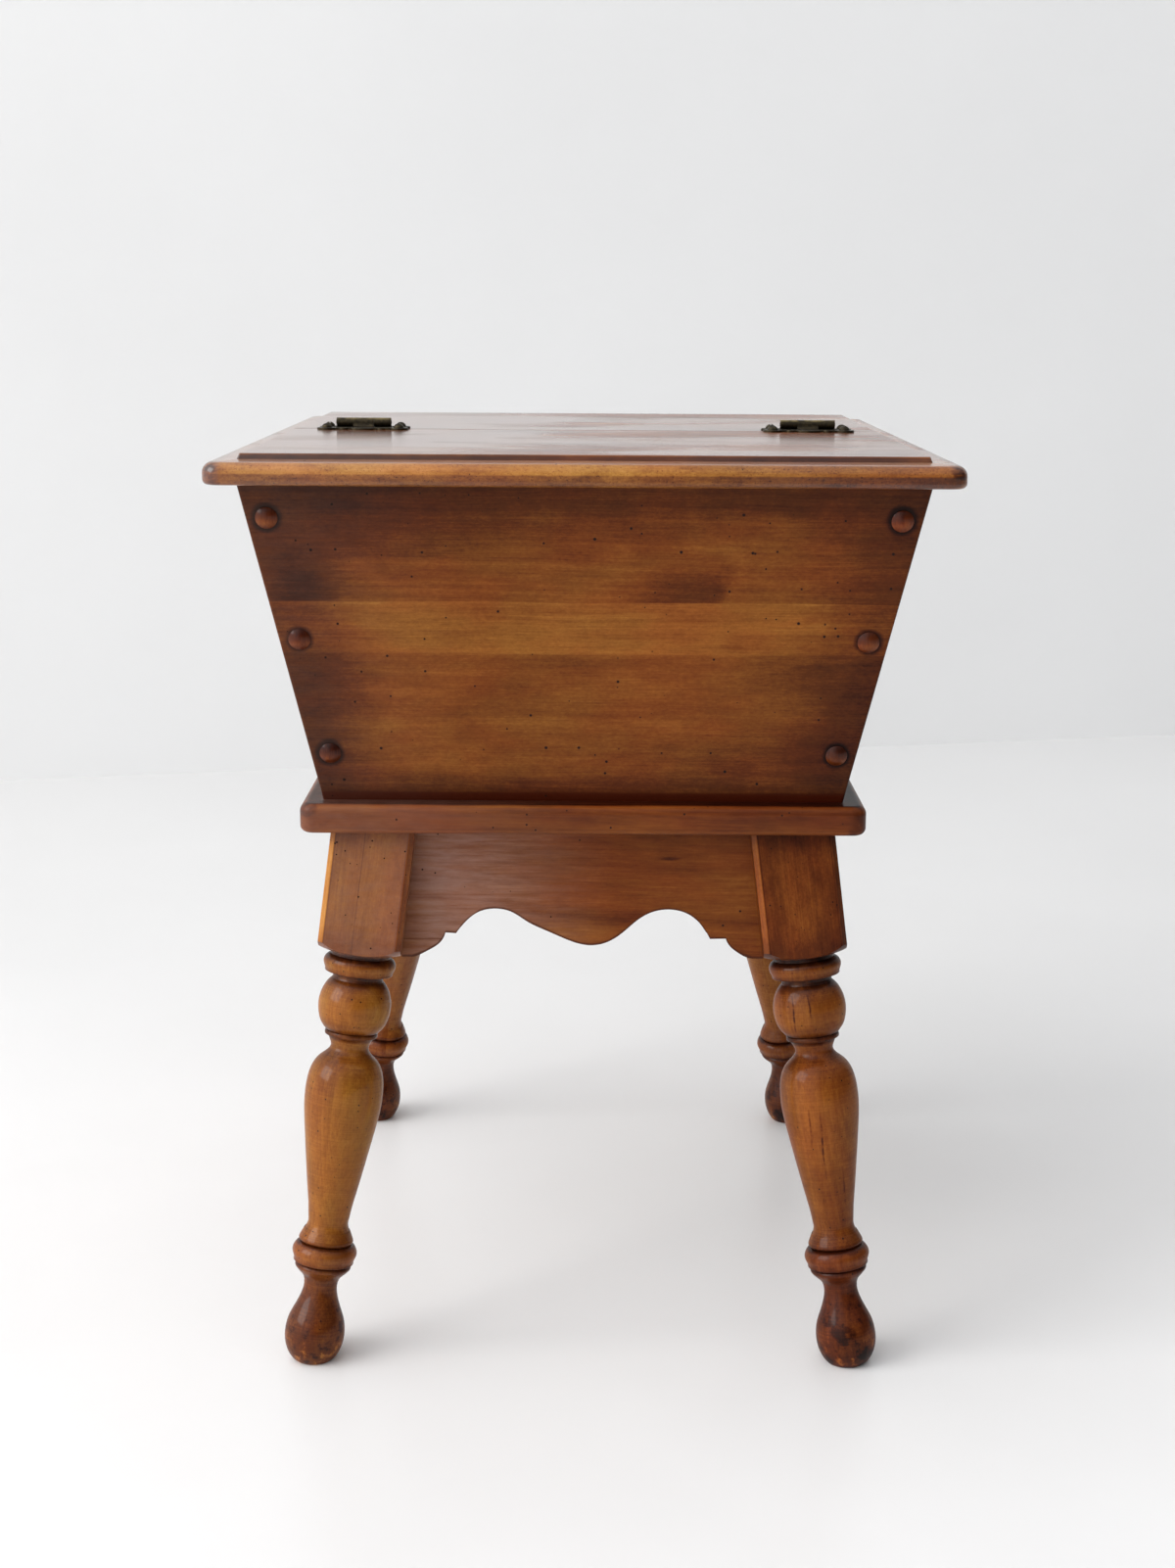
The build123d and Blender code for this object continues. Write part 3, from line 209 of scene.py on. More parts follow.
def wood_tone(g, u, v, w, seed, base=0.5, rings=0.10, fibre=0.07, blotch=0.16, streak=0.08,
              heart=(0.0, -0.07), lean=(0.02, 0.05), ring_rate=330.0, wave=0.016):
    """Stain depth from 0, nearly black, to 1, bare honey, of flat-sawn maple with its grain along u."""
    off = seed * 3.173
    low = g.noise(g.vec(g.m("MULTIPLY_ADD", u, 4.0, off), g.mul(v, 9.0), g.mul(w, 9.0)), 1.0, 2.0, 0.5)
    v1 = g.add(v, g.mul(u, lean[0]), -heart[0])
    w1 = g.add(w, g.mul(u, lean[1]), -heart[1])
    radius = g.m("SQRT", g.add(g.mul(v1, v1), g.mul(w1, w1)))
    radius = g.m("MULTIPLY_ADD", low, wave, radius)
    ring = g.noise(g.m("ADD", radius, off), ring_rate, 3.0, 0.62, dims="1D")
    fine = g.noise(g.vec(g.m("MULTIPLY_ADD", u, 26.0, off), g.mul(v, 1150.0), g.mul(w, 1150.0)), 1.0, 2.0, 0.6)
    pores = g.noise(g.vec(g.m("MULTIPLY_ADD", u, 120.0, off), g.mul(v, 900.0), g.mul(w, 900.0)), 1.0, 3.0, 0.7)
    cloud = g.noise(g.vec(g.m("MULTIPLY_ADD", u, 8.0, -off), g.mul(v, 19.0), g.mul(w, 19.0)), 1.0, 4.0, 0.60)
    mottle = g.noise(g.vec(g.m("MULTIPLY_ADD", u, 60.0, off), g.mul(v, 120.0), g.mul(w, 120.0)), 1.0, 3.0, 0.65)
    band = g.noise(g.vec(g.m("MULTIPLY_ADD", u, 2.6, off + 7.0), g.mul(v, 95.0), g.mul(w, 95.0)), 1.0, 3.0, 0.6)
    tone = g.m("MULTIPLY_ADD", g.m("SUBTRACT", ring, 0.5), rings * 2, base)
    tone = g.m("MULTIPLY_ADD", g.m("SUBTRACT", fine, 0.5), fibre * 2, tone)
    tone = g.m("MULTIPLY_ADD", g.m("SUBTRACT", pores, 0.5), fibre * 1.6, tone)
    tone = g.m("MULTIPLY_ADD", g.m("SUBTRACT", cloud, 0.5), blotch * 2.4, tone)
    tone = g.m("MULTIPLY_ADD", g.m("SUBTRACT", mottle, 0.5), blotch * 0.9, tone)
    tone = g.m("MULTIPLY_ADD", g.m("SUBTRACT", band, 0.5), streak * 2, tone)
    return tone, fine


def specks(g, vec, rate, size, share):
    """Sparse dark dots spattered in the finish; on a flat face, vec has no part along the face's normal."""
    dist, col = g.voronoi(vec, rate)
    r, gr, _ = g.xyz(col)
    keep = g.step(r, 1.0 - share - 0.001, 1.0 - share + 0.001, 0.0, 1.0, smooth=False)
    reach = g.m("MULTIPLY_ADD", gr, size * rate * 0.75, size * rate * 0.35)
    dot = g.m("SUBTRACT", 1.0, g.m("DIVIDE", dist, reach), clamp=True)
    return g.mul(keep, g.step(dot, 0.0, 0.45, 0.0, 1.0))


def finish_wood(g, tone, fine, u, v, w, seed, specular=0.12, coat=0.20, coat_rough=0.22, rough=0.44,
                dots=None, tints=(), bump=0.00006, red=0.0, gold=None):
    color = g.ramp(tone, STAIN)
    hue = g.noise(g.vec(g.m("MULTIPLY_ADD", u, 11.0, seed * 0.9), g.mul(v, 30.0), g.mul(w, 30.0)), 1.0, 3.0, 0.6)
    color = g.mix(g.step(hue, 0.35, 0.65), g.mix(1.0, color, (1.0, 0.86, 0.80), "MULTIPLY"),
                  g.mix(1.0, color, (0.97, 1.0, 0.90), "MULTIPLY"))
    if red:
        color = g.mix(red, color, (1.0, 0.72, 0.72), "MULTIPLY")
    if gold is not None:
        color = g.mix(gold, color, g.mix(1.0, color, (1.0, 1.12, 0.74), "MULTIPLY"))
    for fac, overlay_tint in tints:
        color = g.mix(fac, color, overlay_tint)
    if dots is not None:
        color = g.mix(dots, color, (0.012, 0.006, 0.004))
    rough_haze_and_painted_sheen = g.noise(g.vec(g.m("MULTIPLY_ADD", u, 9.0, seed * 1.7), g.mul(v, 14.0), g.mul(w, 14.0)), 1.0, 3.0, 0.6)
    r = g.m("MULTIPLY_ADD", g.m("SUBTRACT", rough_haze_and_painted_sheen, 0.5), 0.22, rough, clamp=True)
    n = g.bump(fine, bump, 1.0)
    return g.surface(color, r, n, specular=specular, coat=coat, coat_rough=coat_rough)


# painted sheen: pale grey colours painted over the wood where a sheen, the reflection of the bright left side of the
# room, shows
PAINTED_SHEEN = (0.250, 0.145, 0.112)
PAINTED_SHEEN_PALE = (0.335, 0.190, 0.148)
# red-brown for the angle above the base board: partly glaze, partly painted shade
GLAZE_AND_SHADE = (0.060, 0.0065, 0.0008)


# mask for the painted sheen: full strength at 'full', fading to nothing at 'none', broken into patches
def painted_sheen_mask(g, x, full, none, most):
    dull = g.noise(g.v("MULTIPLY", g.coord, (45.0, 45.0, 190.0)), 1.0, 4.0, 0.70)
    return g.mul(g.step(x, full, none, most, 0.0), g.step(dull, 0.25, 0.70, 0.55, 1.0))


def assign(node, mat):
    o = nodes[node]
    o.data.materials.clear()
    o.data.materials.append(mat)


def edge_max(g, a, b):
    return g.m("MAXIMUM", a, b)


# ---- the top: lid and fixed board, grain from left to right
def top_material(name, seed):
    g = Graph(name)
    x, y, z = g.xyz(g.coord)
    ax, ay = g.m("ABSOLUTE", x), g.m("ABSOLUTE", y)
    tone, fine = wood_tone(g, x, y, z, seed, base=0.47, heart=(-0.05, 0.55), lean=(0.01, 0.03), ring_rate=240.0,
                           rings=0.16, blotch=0.27, streak=0.16)
    # thumbnail edge: the upper round is rubbed through to honey; the vertical land below it is darker, partly deeper
    # stain and partly painted shade for the dark room it faces
    rim = g.step(g.m("SUBTRACT", ay, TOP_HY - 0.0060), 0.0, 0.0018)
    ends = g.step(g.m("SUBTRACT", ax, TOP_HX - 0.0150), 0.0, 0.0080)
    land = g.mul(g.step(g.m("SUBTRACT", ay, TOP_HY - 0.0024), 0.0, 0.0008), g.step(z, 0.6251, 0.6266, 1.0, 0.0))
    long_rim = g.mul(rim, g.m("SUBTRACT", 1.0, ends))
    tone = g.m("MULTIPLY_ADD", g.mul(long_rim, g.step(x, 0.02, 0.20, 1.0, 0.36)), 0.37, tone)
    # painted shade on the vertical land, partly stain
    tone = g.m("MULTIPLY_ADD", g.mul(land, g.m("SUBTRACT", 1.0, g.mul(ends, 0.5))), -0.25, tone)
    # distress along the edge: rubbed patches and dark pits
    pit = g.noise(g.vec(g.mul(x, 420.0), g.mul(y, 500.0), g.mul(z, 600.0)), 1.0, 3.0, 0.75)
    tone = g.m("MULTIPLY_ADD", g.mul(long_rim, g.m("SUBTRACT", pit, 0.5)), 0.42, tone)
    patch = g.noise(g.vec(g.m("MULTIPLY_ADD", x, 34.0, seed), g.mul(y, 34.0), g.mul(z, 130.0)), 1.0, 3.0, 0.6)
    tone = g.m("MULTIPLY_ADD", g.mul(long_rim, g.step(patch, 0.50, 0.34)), -0.09, tone)
    # end grain takes more stain
    tone = g.m("MULTIPLY_ADD", ends, -0.03, tone)
    tone = g.m("MULTIPLY_ADD", g.mul(ends, rim, g.step(patch, 0.50, 0.36)), -0.26, tone)
    tone = g.m("MULTIPLY_ADD", g.mul(ends, g.step(pit, 0.50, 0.66)), 0.14, tone)
    # side of the raised field and the angle at its foot are darker: partly deep stain and glaze, partly painted shade
    # for the dark room this vertical face reflects
    gx = g.m("SUBTRACT", ax, FIELD_HX)
    gy = g.m("SUBTRACT", ay, FIELD_HY)
    d = edge_max(g, gx, gy)
    low = g.step(z, TOP_Z - 0.0006, TOP_Z - 0.0014, 0.0, 1.0)
    near = g.step(d, 0.0014, 0.0026, 1.0, 0.0)
    tone = g.m("MULTIPLY_ADD", g.mul(low, near), -0.18, tone)
    # painted reflection: the flat border round the field is painted lighter, and pale grey in the finish, standing in
    # for the bright room it reflects
    flat = g.mul(low, g.step(d, 0.0020, 0.0032), g.m("SUBTRACT", 1.0, long_rim), g.m("SUBTRACT", 1.0, ends),
                 g.step(z, TOP_Z - 0.0072, TOP_Z - 0.0062))
    tone = g.m("MULTIPLY_ADD", flat, 0.24, tone)
    # small dark pits in the rubbed edge
    fleck = g.noise(g.vec(g.mul(x, 800.0), g.mul(y, 800.0), g.mul(z, 800.0)), 1.0, 2.0, 0.6)
    tone = g.m("MULTIPLY_ADD", g.mul(long_rim, g.step(fleck, 0.60, 0.68)), -0.24, tone)
    dots = specks(g, g.coord, 130.0, 0.0009, 0.55)
    # the lacquer is thinner in cloudy streaks along the grain, and fullest towards the left
    streaks = g.noise(g.vec(g.m("MULTIPLY_ADD", x, 5.0, seed * 2.3), g.mul(y, 11.0), 0.2), 1.0, 3.0, 0.50, warp=0.25)
    lacquer = g.add(g.step(streaks, 0.36, 0.62, 0.50, 0.98), g.step(x, 0.06, -0.17, -0.03, 0.34))
    return finish_wood(g, tone, fine, x, y, z, seed, dots=dots, specular=0.12, coat=g.m("MINIMUM", lacquer, 1.0),
                       coat_rough=0.16, rough=0.42, tints=[(g.mul(flat, 0.5), PAINTED_SHEEN_PALE)])


# ---- the flared panels; run is the axis along the panel, face the axis it faces
def panel_material(name, seed, face, sign, strips=False):
    g = Graph(name)
    x, y, z = g.xyz(g.coord)
    along, across = (x, y) if face == "y" else (y, x)
    up = g.m("SUBTRACT", z, BASE_TOP)
    half0 = HX0 if face == "y" else HY0
    out0 = HY0 if face == "y" else HX0
    edge = g.m("SUBTRACT", g.m("MULTIPLY_ADD", up, FLARE, half0), g.m("ABSOLUTE", along))
    depth = g.m("SUBTRACT", g.m("MULTIPLY_ADD", up, FLARE, out0), g.m("MULTIPLY", across, sign))
    if strips:
        # three boards glued edge to edge, the narrow middle one paler
        wav = g.noise(g.vec(g.mul(x, 9.0), 0.3, 0.7), 1.0, 1.0, 0.5)
        zz = g.m("MULTIPLY_ADD", g.m("SUBTRACT", wav, 0.5), 0.0016, z)
        s1 = g.step(zz, 0.5050, 0.5062)
        s2 = g.step(zz, 0.5404, 0.5414)
        shift = g.add(g.mul(s1, 0.37), g.mul(s2, 0.53))
        tone, fine = wood_tone(g, g.add(along, shift), g.add(z, g.mul(shift, 0.21)), depth, seed, base=0.55,
                               heart=(0.47, 0.13), lean=(0.015, 0.02), ring_rate=230.0, rings=0.10)
        mid = g.m("MULTIPLY", s1, g.m("SUBTRACT", 1.0, s2))
        tone = g.m("MULTIPLY_ADD", mid, 0.085, tone)
        tone = g.m("MULTIPLY_ADD", g.step(z, 0.500, 0.410), -0.05, tone)
        tone = g.m("MULTIPLY_ADD", g.step(x, 0.05, 0.17), -0.075, tone)
        # two darker figured patches that end at the upper glue line
        p1 = g.mul(s2, g.bell(g.m("ADD", x, 0.184), 0.0, 0.034), g.bell(z, 0.553, 0.030))
        xs = g.m("MULTIPLY_ADD", g.m("SUBTRACT", z, 0.545), -0.30, x)
        xs = g.m("MULTIPLY_ADD", g.m("SUBTRACT", g.noise(g.vec(g.mul(x, 60.0), 0.4, g.mul(z, 90.0)), 1.0, 3.0, 0.6), 0.5),
                 0.022, xs)
        p2 = g.mul(s2, g.step(xs, 0.012, 0.066), g.step(xs, 0.084, 0.098, 1.0, 0.0), g.bell(z, 0.549, 0.033))
        tone = g.m("MULTIPLY_ADD", g.m("MAXIMUM", p1, p2), -0.20, tone)
        # painted shade: the upper left corner, under the lid's overhang, is darkened
        p3 = g.mul(g.bell(g.m("ADD", x, 0.168), 0.0, 0.090), g.bell(z, 0.598, 0.050))
        tone = g.m("MULTIPLY_ADD", p3, -0.13, tone)
        tone = g.m("MULTIPLY_ADD", g.step(x, -0.09, -0.17), -0.065, tone)
    else:
        tone, fine = wood_tone(g, along, z, depth, seed, base=0.47, heart=(0.50, 0.11), lean=(0.012, 0.03),
                               ring_rate=240.0)
    # darker towards the edges: glazed along the sides, darker towards the bottom, and along the top a painted shadow
    # under the lid's overhang
    ragged = g.noise(g.vec(g.mul(x, 26.0), g.mul(y, 26.0), g.mul(z, 26.0)), 1.0, 3.0, 0.6)
    e1 = g.m("MULTIPLY_ADD", g.m("SUBTRACT", ragged, 0.5), 0.045, edge)
    # painted shadow under the lid's overhang
    t1 = g.m("MULTIPLY_ADD", g.m("SUBTRACT", ragged, 0.5), 0.040, g.m("SUBTRACT", TOP_UNDER, z))
    b1 = g.m("MULTIPLY_ADD", g.m("SUBTRACT", ragged, 0.5), 0.035, up)
    shade = g.m("MAXIMUM", g.step(e1, 0.004, 0.075, 1.0, 0.0), g.step(t1, 0.0, 0.060, 1.0, 0.0))
    shade = g.m("MAXIMUM", shade, g.step(b1, 0.0, 0.032, 0.75, 0.0))
    tone = g.m("MULTIPLY_ADD", shade, -0.20, tone)
    # darker in the angle above the base board: partly glaze, partly painted shade
    foot = g.step(up, 0.0045, 0.0072, 1.0, 0.0)
    tone = g.m("MULTIPLY_ADD", foot, -0.16, tone)
    if face == "y":
        # darker ring round the buttons: partly glaze, partly painted shade where the buttons meet the panel
        ring = None
        for bz in BUTTON_Z:
            bx = HX0 + FLARE * (bz - BASE_TOP) - BUTTON_IN
            dx = g.m("SUBTRACT", g.m("ABSOLUTE", along), bx)
            dz = g.mul(g.m("SUBTRACT", z, bz), 1.022)
            far = g.m("SQRT", g.add(g.mul(dx, dx), g.mul(dz, dz)))
            ring = far if ring is None else g.m("MINIMUM", ring, far)
        tone = g.m("MULTIPLY_ADD", g.step(g.m("MULTIPLY_ADD", g.m("SUBTRACT", ragged, 0.5), 0.006, ring),
                                          0.0072, 0.0112, 1.0, 0.0), -0.30, tone)
    # inside of the chest: sealed, not stained
    inside = g.step(depth, WALL - 0.0012, WALL - 0.0004)
    tone = g.m("MULTIPLY_ADD", inside, 0.30, tone)
    dots = specks(g, g.vec(along, z, 0.0), 125.0, 0.0013, 0.42)
    grit = g.noise(g.vec(g.mul(along, 330.0), g.mul(z, 620.0), seed * 1.3), 1.0, 3.0, 0.8)
    tone = g.m("MULTIPLY_ADD", g.m("SUBTRACT", grit, 0.5), 0.26, tone)
    figure = g.noise(g.vec(g.mul(along, 12.0), g.mul(z, 260.0), seed * 2.1), 1.0, 4.0, 0.72, warp=0.35)
    tone = g.m("MULTIPLY_ADD", g.m("SUBTRACT", figure, 0.5), 0.19, tone)
    # the left part of the front panel carries a painted sheen
    return finish_wood(g, tone, fine, along, z, depth, seed, dots=dots, specular=0.08, coat=0.05, coat_rough=0.25,
                       rough=0.50, tints=[(g.mul(foot, 0.75), GLAZE_AND_SHADE)] + (
                           [(painted_sheen_mask(g, x, -0.200, -0.06, 0.10), PAINTED_SHEEN)] if strips else []))


# ---- base board
def base_material(name, seed):
    g = Graph(name)
    x, y, z = g.xyz(g.coord)
    ax, ay = g.m("ABSOLUTE", x), g.m("ABSOLUTE", y)
    tone, fine = wood_tone(g, x, y, z, seed, base=0.385, heart=(0.06, 0.46), lean=(0.01, 0.02), ring_rate=260.0,
                           streak=0.10)
    ends = g.step(g.m("SUBTRACT", ax, PLATE_HX - 0.0160), 0.0, 0.010)
    tone = g.m("MULTIPLY_ADD", ends, -0.06, tone)
    # upper arris lighter along an uneven line: partly rubbed wear, partly a painted highlight; the top behind it is
    # darker: partly glaze, partly a painted reflection of the dark panel above it
    wav = g.noise(g.vec(g.mul(x, 22.0), g.mul(y, 22.0), 0.4), 1.0, 2.0, 0.5)
    out = edge_max(g, g.m("SUBTRACT", ax, PLATE_HX - 0.0060), g.m("SUBTRACT", ay, PLATE_HY - 0.0060))
    out = g.m("MULTIPLY_ADD", g.m("SUBTRACT", wav, 0.5), 0.0030, out)
    arris = g.mul(g.bell(out, 0.0036, 0.0026), g.step(z, 0.3950, 0.3980))
    tone = g.m("MULTIPLY_ADD", arris, 0.15, tone)
    land = g.mul(g.step(out, 0.0024, 0.0006), g.step(z, 0.4004, 0.4009))
    tone = g.m("MULTIPLY_ADD", land, -0.26, tone)
    # lower arris lighter: partly wear, partly a painted reflection of the floor
    low = g.bell(z, BASE_UNDER + 0.0022, 0.0018)
    tone = g.m("MULTIPLY_ADD", g.mul(low, g.step(g.m("SUBTRACT", z, BASE_UNDER), 0.0002, 0.0008)), 0.10, tone)
    ragged = g.noise(g.vec(g.mul(x, 40.0), g.mul(y, 40.0), g.mul(z, 60.0)), 1.0, 3.0, 0.6)
    tone = g.m("MULTIPLY_ADD", g.step(x, -0.10, 0.14, 0.07, -0.06), 1.0, tone)
    corner = g.mul(g.step(ax, PLATE_HX - 0.024, PLATE_HX - 0.010), g.step(ragged, 0.50, 0.62))
    tone = g.m("MULTIPLY_ADD", corner, -0.22, tone)
    under = g.step(z, BASE_UNDER + 0.0004, BASE_UNDER + 0.0002)
    tone = g.m("MULTIPLY_ADD", under, 0.12, tone)
    dots = specks(g, g.coord, 140.0, 0.0009, 0.60)
    # painted sheen on the left part of the base board
    return finish_wood(g, tone, fine, x, y, z, seed, dots=dots, specular=0.08, coat=0.14, coat_rough=0.20,
                       rough=0.42, red=0.40,
                       tints=[(painted_sheen_mask(g, x, -0.185, 0.03, 0.26), PAINTED_SHEEN)])


# ---- aprons
SCALLOPS = [(-119.0, 285.3), (-109.5, 289.0), (-101.0, 294.2), (-97.0, 299.6), (-95.5, 303.0), (-88.1, 302.5),
            (-84.4, 307.5), (-80.2, 312.2), (-72.0, 318.2), (-66.0, 320.2), (-61.1, 320.5), (-55.0, 320.0),
            (-49.5, 318.2), (-44.0, 315.0), (-38.5, 311.2), (-23.5, 304.0), (-9.0, 297.6), (-1.0, 295.0),
            (5.9, 294.3), (12.0, 295.0), (18.5, 297.2), (24.0, 300.8), (30.0, 305.4), (38.6, 313.0), (48.5, 318.6),
            (54.0, 320.1), (60.2, 320.5), (67.6, 319.5), (74.4, 316.7), (78.8, 313.5), (82.8, 309.1), (86.2, 304.1),
            (88.9, 299.4), (99.9, 299.6), (103.2, 293.8), (109.4, 288.9), (119.0, 285.2)]


def apron_material(name, seed, face, sign, streak_at=None):
    g = Graph(name)
    x, y, z = g.xyz(g.coord)
    along, across = (x, y) if face == "y" else (y, x)
    tone, fine = wood_tone(g, along, z, across, seed, base=0.515, heart=(0.42, sign * 0.06), lean=(0.02, 0.03),
                           ring_rate=250.0)
    # painted shade: darker just under the base board's overhang
    top = g.step(g.m("SUBTRACT", BASE_UNDER, z), 0.0, 0.018, 1.0, 0.0)
    tone = g.m("MULTIPLY_ADD", top, -0.08, tone)
    tone = g.m("MULTIPLY_ADD", g.step(x, -0.04, 0.12, 0.03, -0.04), 1.0, tone)
    outer = APRON_Y if face == "y" else APRON_X
    depth = g.m("SUBTRACT", outer, g.m("MULTIPLY", across, sign))
    # sawn lower edge: darker where the stain soaked in
    sawn = g.mul(g.step(z, 0.3210, 0.3205, 0.0, 1.0), g.step(depth, 0.0006, 0.0012))
    tone = g.m("MULTIPLY_ADD", sawn, -0.10, tone)
    if streak_at:
        sx, sz = streak_at
        # stain drawn into the sawn edge shows as a thin dark line along the scallops
        line = g.profile(x, -0.119, 0.119, [(a / 1000.0, (b - 280.0) / 50.0) for a, b in SCALLOPS])
        over = g.m("SUBTRACT", z, g.m("MULTIPLY_ADD", line, 0.050, 0.280))
        smoke = g.mul(g.bell(g.m("MULTIPLY_ADD", x, 0.06, z), 0.3135, 0.0070), g.step(x, -0.055, -0.025),
                      g.step(x, 0.020, 0.060, 1.0, 0.0))
        tone = g.m("MULTIPLY_ADD", smoke, -0.12, tone)
        seep = g.m("MAXIMUM", g.step(over, 0.0007, 0.0020, 0.75, 0.0),
                   g.mul(g.bell(z, 0.2985, 0.0006), g.step(x, -0.095, -0.098), 0.5))
        seep = g.mul(seep, g.step(depth, 0.0012, 0.0006))
        wig = g.noise(g.vec(g.mul(x, 120.0), 0.5, 0.2), 1.0, 2.0, 0.5)
        zz = g.m("MULTIPLY_ADD", g.m("SUBTRACT", wig, 0.5), 0.0025, g.m("SUBTRACT", z, sz))
        mark = g.mul(g.bell(zz, 0.0, 0.0022), g.bell(x, sx, 0.011))
        tone = g.m("MULTIPLY_ADD", mark, -0.25, tone)
    inside = g.step(depth, 0.0184, 0.0188)
    tone = g.m("MULTIPLY_ADD", inside, 0.28, tone)
    figure = g.noise(g.vec(g.m("MULTIPLY_ADD", along, 13.0, seed * 1.9), g.mul(z, 210.0), 0.6), 1.0, 4.0, 0.72, warp=0.3)
    tone = g.m("MULTIPLY_ADD", g.m("SUBTRACT", figure, 0.5), 0.24, tone)
    dots = specks(g, g.vec(along, z, 0.0), 100.0, 0.0011, 0.30)
    grit = g.noise(g.vec(g.mul(along, 330.0), g.mul(z, 620.0), seed * 1.3), 1.0, 3.0, 0.8)
    tone = g.m("MULTIPLY_ADD", g.m("SUBTRACT", grit, 0.5), 0.14, tone)
    tints = []
    # painted sheen on the left part of the front apron, with the dark line along the sawn edge
    if streak_at:
        tints = [(g.mul(painted_sheen_mask(g, x, -0.125, 0.03, 0.95), g.step(figure, 0.34, 0.62, 0.50, 1.0),
                        g.step(x, -0.128, -0.100, 0.40, 1.0)), PAINTED_SHEEN_PALE),
                 (seep, (0.045, 0.012, 0.006))]
    return finish_wood(g, tone, fine, along, z, across, seed, dots=dots, specular=0.08, coat=0.06, coat_rough=0.22,
                       rough=0.46, red=0.30, tints=tints)


# ---- legs: grain along the leg's own axis
def leg_material(name, seed, sx, sy, seam=None, checks=(), base=0.57, block_tone=-0.05, gloss=0.28, rough_haze_and_painted_sheen=0.0, red=0.0,
                 arris=(0.20, 0.20), gold=0.0, overlay_tint=0.0):
    g = Graph(name)
    w_dir = Vector((-sx * SPLAY_X, -sy * SPLAY_Y, 1.0)).normalized()
    turn = Vector((0, 0, 1)).rotation_difference(w_dir)
    u_dir, v_dir = turn @ Vector((1, 0, 0)), turn @ Vector((0, 1, 0))
    foot = Vector((sx * FOOT_X, sy * FOOT_Y, 0.0))
    rel = g.v("SUBTRACT", g.coord, tuple(foot))
    z0 = g.xyz(g.coord)[2]
    p = g.v("DOT_PRODUCT", rel, tuple(u_dir))
    q = g.v("DOT_PRODUCT", rel, tuple(v_dir))
    s = g.v("DOT_PRODUCT", rel, tuple(w_dir))
    shift = 0.0
    if seam is not None:
        side = g.step(p if seam[0] == "p" else q, seam[1] - 0.00015, seam[1] + 0.00015, 0.0, 1.0)
        shift = g.mul(side, 0.61)
        s2 = g.add(s, shift)
    else:
        s2 = s
    tone, fine = wood_tone(g, s2, p, q, seed, base=base, heart=(0.035 + 0.01 * seed, -0.045), lean=(0.03, 0.02),
                           ring_rate=420.0, rings=0.075, blotch=0.19, streak=0.06)
    # fine lines from the lathe, and a grainy surface
    lathe = g.noise(g.vec(g.mul(p, 25.0), g.mul(q, 25.0), g.mul(s, 1500.0)), 1.0, 3.0, 0.7)
    turned = g.step(s, 0.2915, 0.2905)
    tone = g.m("MULTIPLY_ADD", g.mul(turned, g.m("SUBTRACT", lathe, 0.5)), 0.25, tone)
    grit = g.noise(g.vec(g.mul(p, 520.0), g.mul(q, 520.0), g.mul(s, 420.0)), 1.0, 3.0, 0.75)
    tone = g.m("MULTIPLY_ADD", g.m("SUBTRACT", grit, 0.5), 0.22, tone)
    for at, lo, hi, deep in checks:
        # a hairline check along the grain, on the side that faces out of the front
        wig = g.noise(g.vec(g.mul(s, 55.0), at * 90.0, 0.3), 1.0, 2.0, 0.5)
        off = g.m("MULTIPLY_ADD", g.m("SUBTRACT", wig, 0.5), 0.0030, g.m("SUBTRACT", p, at))
        broken = g.noise(g.vec(g.mul(s, 160.0), at * 70.0, 0.9), 1.0, 2.0, 0.6)
        mark = g.mul(g.bell(off, 0.0, 0.0010), g.step(broken, 0.36, 0.58, 0.15, 1.0),
                     g.bell(s, (lo + hi) / 2, (hi - lo) / 2), g.step(q, 0.002, -0.004))
        tone = g.m("MULTIPLY_ADD", mark, -1.7 * deep, tone)

    if seam is not None:
        c = p if seam[0] == "p" else q
        line = g.bell(c, seam[1], 0.0005)
        tone = g.m("MULTIPLY_ADD", g.mul(line, g.step(s, 0.285, 0.290)), -0.20, tone)
        tone = g.m("MULTIPLY_ADD", side, 0.03, tone)
    ap, aq = g.m("ABSOLUTE", p), g.m("ABSOLUTE", q)
    block = g.step(s, 0.2915, 0.2935)
    cloud = g.noise(g.vec(g.mul(p, 70.0), g.mul(q, 70.0), g.m("MULTIPLY_ADD", s, 34.0, seed * 1.7)), 1.0, 4.0, 0.6)
    tone = g.m("MULTIPLY_ADD", g.mul(block, g.m("SUBTRACT", cloud, 0.5)), 0.34, tone)
    # the square block is stained deeper, its chamfers are rubbed through; where the arris pair differs, the left
    # chamfer is painted lighter as a painted highlight and the right one darker as painted shade
    tone = g.m("MULTIPLY_ADD", block, block_tone, tone)
    chamfer = g.mul(block, g.step(g.add(ap, aq), 0.0530, 0.0538))
    tone = g.m("MULTIPLY_ADD", chamfer, g.step(p, -0.001, 0.001, arris[0], arris[1]), tone)
    # a dark line where each chamfer meets the face of the block
    tone = g.m("MULTIPLY_ADD", g.mul(block, g.bell(g.add(ap, aq), 0.0530, 0.0007)), -0.14, tone)
    # painted shade: darker just under the base board's overhang; also darker along the lower end of the block
    tone = g.m("MULTIPLY_ADD", g.step(g.m("SUBTRACT", BASE_UNDER, z0), 0.0, 0.016, 1.0, 0.0), -0.14, tone)
    tone = g.m("MULTIPLY_ADD", g.mul(block, g.step(s, 0.300, 0.318, 1.0, 0.0)), -0.10, tone)
